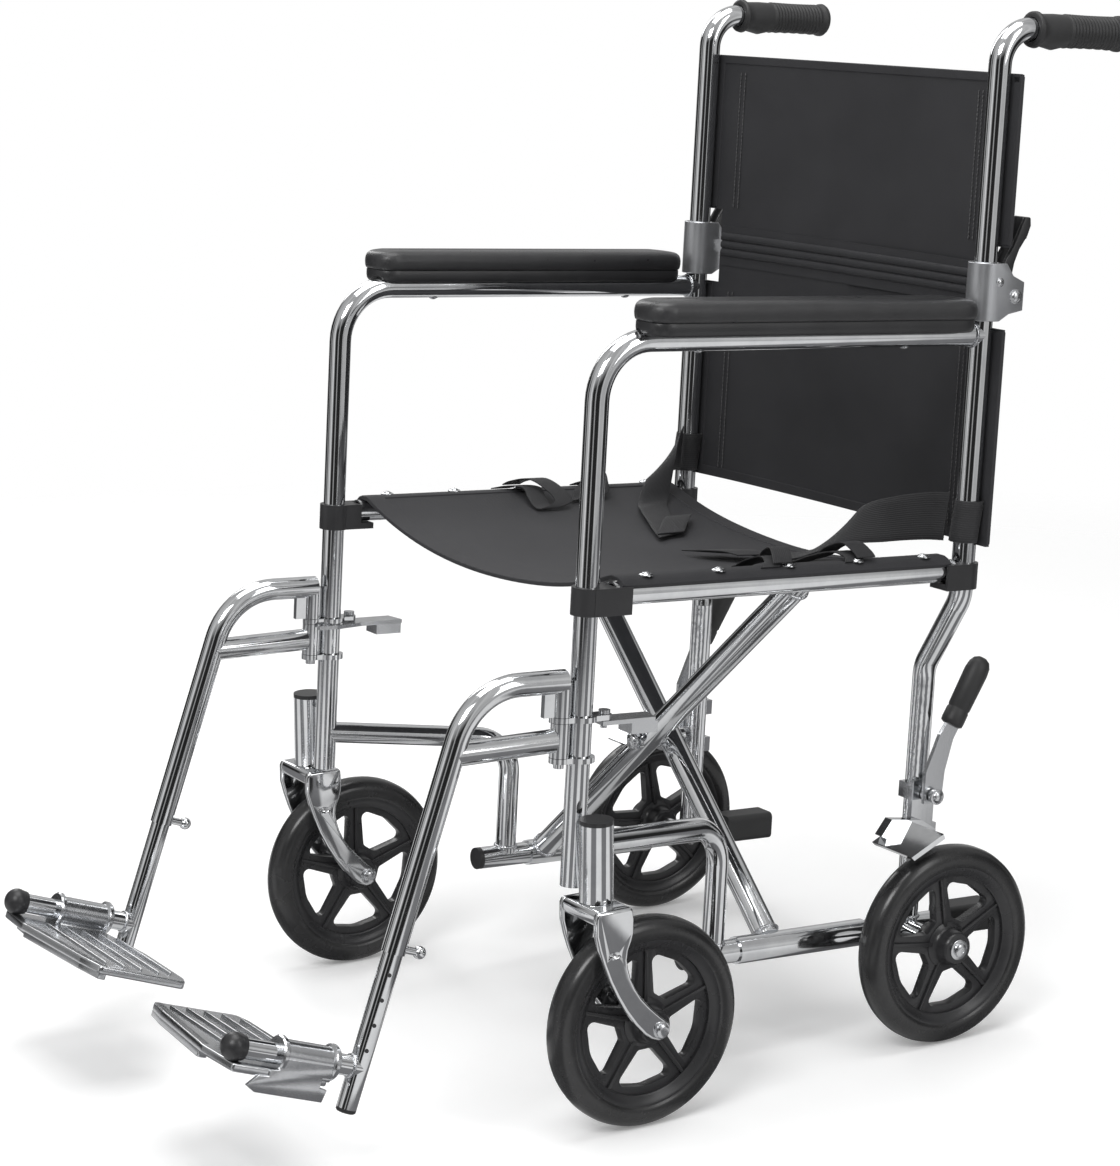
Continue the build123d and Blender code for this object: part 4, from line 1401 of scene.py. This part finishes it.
# ---------------------------------------------------------------- foot rests
class CHAIR_OT_footplates(bpy.types.Operator):
    """Model the cast footplate with its ribs, barrel, collars and outer skirt"""

    bl_idname = "chair.footplates"
    bl_label = "Footplates"

    def execute(self, context):
        tread = [
            (12.0, -133.0), (-40.0, -138.0), (-150.0, -124.0), (-182.0, -117.0), (-186.0, -26.0),
            (-170.0, -19.5), (-82.0, -18.5), (12.0, -35.0),
        ]
        corners = [r * MM for r in (3, 20, 20, 6, 6, 10, 20, 3)]
        outline = rounded(mm(tread), corners, 4)
        plate = cutout("plate", outline, 8.0 * MM, "XY", 1.8 * MM, 3)
        plate.data.transform(Matrix.Translation((0, 0, -20.0 * MM)))
        parts = [plate]
        lip = rounded(
            mm(
                (
                    (-44.0, -137.0), (-150.0, -123.5), (-181.0, -116.5), (-182.0, -107.0), (-150.0, -113.5),
                    (-44.0, -127.0),
                )
            ),
            3 * MM, 3,
        )
        edge = cutout("front_edge", lip, 13.0 * MM, "XY", 2.2 * MM, 3)
        edge.data.transform(Matrix.Translation((0, 0, -25.0 * MM)))
        parts.append(edge)
        for y, inner, outer in (
            (-106, -168, -30), (-87, -171, -34), (-68, -171, -34), (-49, -171, -34), (-32, -164, -40)
        ):
            rib = slab(
                "rib", (inner * MM, (y - 1.3) * MM, -13.0 * MM), (outer * MM, (y + 1.3) * MM, -9.6 * MM),
                1.1 * MM, 3,
            )
            parts.append(rib)
        barrel = [
            (-88.2, 9.6), (-88.2, 15.6), (-86.6, 16.8), (-83.6, 16.8), (-82.2, 15.4), (-81.6, 14.0),
            (-34.6, 14.0), (-34.0, 15.4), (-32.6, 16.8), (-29.6, 16.8), (-27.9, 15.6), (-27.9, 9.6),
        ]
        parts.append(turned("barrel", mm(barrel), "Y", 56, 35))
        skirt = [
            (-87.0, 0.0), (-87.0, -11.0), (-96.0, -12.0), (-96.0, -18.0), (-106.0, -18.0), (-116.0, -29.0),
            (-106.0, -34.0), (-36.0, -34.0), (-34.0, -22.0), (-42.0, -21.0), (-42.0, -12.0), (-30.0, -11.0),
            (-30.0, 0.0),
        ]
        side = cutout("skirt", mm(skirt), 4.0 * MM, "YZ", 0.9 * MM, 2)
        side.data.transform(Matrix.Translation((10.2 * MM, 0, 0)))
        parts.append(side)
        parts.append(
            slab("web", (-12.0 * MM, -84 * MM, -16.0 * MM), (12.5 * MM, -32 * MM, -10.4 * MM), 2.0 * MM, 3)
        )
        foot = join("foot", parts)
        smooth(foot, 38)
        place(foot, ON_LEG)
        casting = look_for("cast_aluminium")
        both_sides(foot, "footplate_casting", casting, "cast_aluminium", "foot", "footplate")

        bulb = ball("bulb", (0, -131 * MM, 0), 12.9 * MM, (1, 0.92, 1), 32)
        bulb_neck = turned(
            "neck",
            mm(((-122, 9.4), (-122, 11.4), (-127, 12.2), (-127, 0.4), (-122.5, 0.4))),
            "Y", 40,
        )
        plug = turned(
            "plug",
            mm(((-41.8, 0.3), (-41.8, 8.2), (-40.6, 9.3), (-38.0, 9.4), (-36, 7.6), (-36, 0.3))),
            "Z", 40,
        )
        cap = join("caps", [bulb, bulb_neck, plug])
        place(cap, ON_LEG)
        both_sides(cap, "foot_bumper", look_for("black_plastic"), "black_plastic", "leg", "foot_cap")

        # Thin black discs on the leg where its adjustment holes are: painted shade for the dark inside of
        # each hole, not cut holes.
        hole_shade_discs = []
        for n in range(4):
            up = 0.088 - n * 0.0235
            dark = rod("hole", (8.6 * MM, -2.6 * MM, up), (9.62 * MM, -2.9 * MM, up), 1.9 * MM, 20)
            hole_shade_discs.append(dark)
        painted_hole_shades = join("painted_hole_shades", hole_shade_discs)
        place(painted_hole_shades, ON_LEG)
        both_sides(painted_hole_shades, "leg_hole_shades", look_for("black_plastic"), "black_plastic", "leg")
        return {"FINISHED"}


# ---------------------------------------------------------------- small fittings
def dome_bolt(name, at, towards, radius, rise):
    """A round bolt head with a washer, facing along towards."""
    profile = [
        (-0.0004, 0.0002), (-0.0004, radius * 1.28), (0.0007, radius * 1.28), (0.0009, radius),
        (rise * 0.45, radius * 0.97), (rise * 0.75, radius * 0.78), (rise * 0.95, radius * 0.42),
        (rise, 0.0002),
    ]
    obj = turned(name, profile, "Z", 32, 50)
    aim = Vector(towards).to_track_quat("Z", "Y").to_matrix().to_4x4()
    obj.data.transform(Matrix.Translation(at) @ aim)
    return obj


def weld_ring(name, at, along, radius, bead):
    clear_selection()
    bpy.ops.mesh.primitive_torus_add(
        major_radius=radius, minor_radius=bead, major_segments=72, minor_segments=10, location=(0, 0, 0)
    )
    obj = named(name)
    for vertex in obj.data.vertices:
        lump = 1 + 0.22 * math.sin(math.atan2(vertex.co.y, vertex.co.x) * 26) * abs(vertex.co.z) / bead
        vertex.co.z *= lump
    aim = Vector(along).to_track_quat("Z", "Y").to_matrix().to_4x4()
    obj.data.transform(Matrix.Translation(at) @ aim)
    return smooth(obj, 80)


class CHAIR_OT_fittings(bpy.types.Operator):
    """Add bolt heads, axle nuts, weld beads and the brace washers"""

    bl_idname = "chair.fittings"
    bl_label = "Bolts and welds"

    def execute(self, context):
        plated, weld = look_for("fastener"), look_for("weld")
        out = (1, 0, 0)
        heads = [
            dome_bolt("bolt", (0.2562, 0.031, 0.748), out, 0.0056, 0.0030),
            dome_bolt("bolt", (0.2228, 0.031, 0.748), (-1, 0, 0), 0.0056, 0.0030),
            dome_bolt("bolt", (0.2562, 0.010, 0.762), out, 0.0034, 0.0018),
            dome_bolt("bolt", (0.2258, 0.0047, 0.244), out, 0.0062, 0.0038),
            dome_bolt("bolt", (0.2258, 0.0032, 0.2006), out, 0.0062, 0.0038),
        ]
        bolts = join("bolts", heads)
        place(bolts, LEANED)
        both_sides(bolts, "bracket_bolts", plated, "fastener", "side")

        axle = turned(
            "axle",
            [
                (x * MM, r * MM)
                for x, r in (
                    (280.7, 0.2), (280.7, 10.2), (282.0, 10.4), (282.4, 9.6), (282.6, 7.2), (285.8, 6.9),
                    (286.9, 5.4), (287.0, 2.2), (286.2, 1.8), (286.2, 0.2),
                )
            ],
            "X", 48,
        )
        shank = rod("shank", (0.1985, 0, 0), (0.2808, 0, 0), 3.95 * MM)
        axle = join("axle", [axle, shank])
        place(axle, PLUMB @ Matrix.Translation((0, 0, AXLE_Z)))
        both_sides(axle, "axle_bolt", plated, "fastener", "side", "rear_axle")

        middle = [
            dome_bolt("brace_head", (0, -0.2129, 0.26934), (0, -1, 0), 0.0078, 0.0042),
            dome_bolt("brace_head", (0, -0.1461, 0.26934), (0, 1, 0), 0.0078, 0.0042),
            rod("brace_pin", (0, -0.2125, 0.26934), (0, -0.1465, 0.26934), 3.9 * MM),
        ]
        centre = join("brace_pivot_bolt", middle)
        place(centre, LEANED)
        finish_piece(centre, plated, "fastener", "brace_b", "brace_bolt")

        beads = [
            weld_ring("bead", (0.1925, -0.238, 0.1128), (0, 0, 1), 0.0112, 0.0017),
            weld_ring("bead", (0.1925, 0.004, 0.1128), (0, 0, 1), 0.0117, 0.0017),
            weld_ring("bead", (POST_X, -0.0082, 0.710), (0, 1, 0), 0.0113, 0.0016),
        ]
        side = join("beads", beads)
        place(side, LEANED)
        both_sides(side, "frame_welds", weld, "chrome", "side")
        for name, sign, y, body in (("brace_a", 1, -0.194, "brace_a"), ("brace_b", -1, -0.166, "brace_b")):
            run = math.hypot(0.432, 0.3764)
            along = Vector((sign * 0.432 / run, 0, 0.3764 / run))
            top = Vector((sign * POST_X, y, 0.478)) - along * 0.0118
            foot = Vector((-sign * 0.1925, y, 0.1016)) + along * 0.0150
            ring = join(
                f"{name}_welds",
                [
                    weld_ring("bead", top, along, 0.0129, 0.0017),
                    weld_ring("bead", foot, along, 0.0129, 0.0017),
                ],
            )
            place(ring, LEANED)
            finish_piece(ring, weld, "chrome", body)
        leg = [
            weld_ring("bead", (0, -0.0098, 0), (0, 1, 0), 0.0097, 0.0016),
        ]
        ring = join("leg_bead", leg)
        place(ring, ON_LEG)
        both_sides(ring, "leg_welds", weld, "chrome", "leg")
        return {"FINISHED"}


# ---------------------------------------------------------------- stage
class CHAIR_OT_stage(bpy.types.Operator):
    """Set the pale floor, the soft lights and the camera"""

    bl_idname = "chair.stage"
    bl_label = "Stage"

    def light(self, name, at, size, power, aim=(0, 0, 0.5)):
        clear_selection()
        bpy.ops.object.light_add(type="AREA", location=at)
        lamp = bpy.context.object
        lamp.name = name
        lamp.data.shape = "RECTANGLE"
        lamp.data.size, lamp.data.size_y = size
        lamp.data.energy = power
        lamp.rotation_mode = "QUATERNION"
        lamp.rotation_quaternion = (Vector(aim) - Vector(at)).to_track_quat("-Z", "Y")
        return lamp

    def surroundings(self, context):
        """A dark room with tall bright cards for the plating, and plain white for the camera."""
        world = bpy.data.worlds.new("studio")
        context.scene.world = world
        world.use_nodes = True
        sky = Graph(world.node_tree)
        x, y, z = sky.axes(sky.point("Generated"))
        around = Sock(sky, sky.node("ShaderNodeMath", {"operation": "ARCTAN2"}, (y, x)).outputs[0])
        wide = ((around * 3.0 + 0.6).sin() * 3.0 - 0.9).clamp()
        thin = ((around * 8.0 + 2.1).sin() * 4.0 - 2.6).clamp()
        cards = wide * 0.75 + thin * 0.6
        over = (z * 3.4 - 0.75).clamp()
        level = 1.0 - over
        tone = level * (cards + 0.035) + over * (cards * 0.25 + 0.75)
        dim = sky.node("ShaderNodeBackground", None, {"Strength": 0.55})
        even = sky.node("ShaderNodeBackground", None, {"Color": (1, 1, 1, 1), "Strength": 0.42})
        white = sky.node("ShaderNodeBackground", None, {"Color": (1, 1, 1, 1), "Strength": 1.0})
        sky.tree.links.new(tone.socket, dim.inputs["Color"])
        ray = sky.node("ShaderNodeLightPath")
        soft = sky.node("ShaderNodeMixShader")
        pick = sky.node("ShaderNodeMixShader")
        links = sky.tree.links
        links.new(ray.outputs["Is Diffuse Ray"], soft.inputs[0])
        links.new(dim.outputs[0], soft.inputs[1])
        links.new(even.outputs[0], soft.inputs[2])
        links.new(ray.outputs["Is Camera Ray"], pick.inputs[0])
        links.new(soft.outputs[0], pick.inputs[1])
        links.new(white.outputs[0], pick.inputs[2])
        links.new(pick.outputs[0], sky.tree.nodes["World Output"].inputs[0])

    def execute(self, context):
        clear_selection()
        bpy.ops.mesh.primitive_circle_add(vertices=96, radius=3.2, fill_type="NGON", location=(0, 0, 0))
        floor = named("floor")
        look = Look("pale_floor", (0.93, 0.93, 0.93), 0.8, specular_ior_level=0.1, emission_strength=0.16)
        look.shader.inputs["Emission Color"].default_value = (1, 1, 1, 1)
        x, y, _ = look.axes(look.point())
        out = (x * x + y * y) ** 0.5
        look.feed("Alpha", ((3.1 - out) * 0.7).clamp())
        # Glossy rays see the floor mostly as a dark diffuse, in bands round the chair: a painted reflection
        # of dark stripes in the plating. The camera and diffuse rays see the pale floor.
        shade = look.node("ShaderNodeBsdfDiffuse", None, {"Color": (0.09, 0.09, 0.095, 1)})
        ray = look.node("ShaderNodeLightPath")
        pick = look.node("ShaderNodeMixShader")
        around = Sock(look, look.node("ShaderNodeMath", {"operation": "ARCTAN2"}, (y, x)).outputs[0])
        reflection_bands = ((around * 7.0 + 0.8).sin() * 2.0 + 0.5).clamp()
        glossy = Sock(look, ray.outputs["Is Glossy Ray"]) * (reflection_bands * 0.5 + 0.42)
        look.tree.links.new(glossy.socket, pick.inputs[0])
        look.tree.links.new(look.shader.outputs[0], pick.inputs[1])
        look.tree.links.new(shade.outputs[0], pick.inputs[2])
        look.tree.links.new(pick.outputs[0], look.tree.nodes["Material Output"].inputs[0])
        floor.data.materials.append(look.material)
        self.surroundings(context)

        self.light("key", (1.6, -2.6, 3.2), (1.8, 1.4), 62)
        self.light("fill", (3.2, 1.2, 2.2), (0.9, 2.6), 22)
        self.light("far", (-3.0, 0.4, 2.6), (0.9, 2.6), 26)
        self.light("top", (0.0, 0.0, 3.6), (2.4, 2.4), 62)

        bpy.ops.object.camera_add(location=(2.53626, -1.6177, 1.10755))
        camera = bpy.context.object
        camera.name = "camera"
        azimuth, elevation = math.radians(57.42), math.radians(12.20)
        back = Vector(
            (
                math.sin(azimuth) * math.cos(elevation),
                -math.cos(azimuth) * math.cos(elevation),
                math.sin(elevation),
            )
        )
        camera.rotation_mode = "QUATERNION"
        camera.rotation_quaternion = (-back).to_track_quat("-Z", "Y")
        camera.data.sensor_width = 36.0
        camera.data.sensor_fit = "AUTO"
        camera.data.lens = 95.61
        context.scene.camera = camera
        context.scene.view_settings.view_transform = "Standard"
        clear_selection()
        return {"FINISHED"}


STEPS = (
    CHAIR_OT_stage,
    CHAIR_OT_frame_finishes,
    CHAIR_OT_wheels,
    CHAIR_OT_forks,
    CHAIR_OT_back,
    CHAIR_OT_seat,
    CHAIR_OT_belts,
    CHAIR_OT_arm_pads,
    CHAIR_OT_grips,
    CHAIR_OT_footplates,
    CHAIR_OT_fittings,
)


class CHAIR_PT_panel(bpy.types.Panel):
    """Everything the chair is built from, in order"""

    bl_idname = "CHAIR_PT_panel"
    bl_label = "Transport wheelchair"
    bl_space_type = "VIEW_3D"
    bl_region_type = "UI"
    bl_category = "Wheelchair"

    def draw(self, context):
        layout = self.layout
        for group in (context.scene.chair_sizes, context.scene.chair_colours):
            for key in group.bl_rna.properties.keys():
                if key not in ("rna_type", "name"):
                    layout.prop(group, key)
        for step in STEPS:
            layout.operator(step.bl_idname)


CLASSES = (ChairSizes, ChairColours, *STEPS, CHAIR_PT_panel)


def register():
    for cls in CLASSES:
        bpy.utils.register_class(cls)
    bpy.types.Scene.chair_sizes = bpy.props.PointerProperty(type=ChairSizes)
    bpy.types.Scene.chair_colours = bpy.props.PointerProperty(type=ChairColours)


def unregister():
    del bpy.types.Scene.chair_colours
    del bpy.types.Scene.chair_sizes
    for cls in reversed(CLASSES):
        bpy.utils.unregister_class(cls)


def main():
    register()
    for step in STEPS:
        group, name = step.bl_idname.split(".")
        getattr(getattr(bpy.ops, group), name)()


if __name__ == "__main__":
    main()
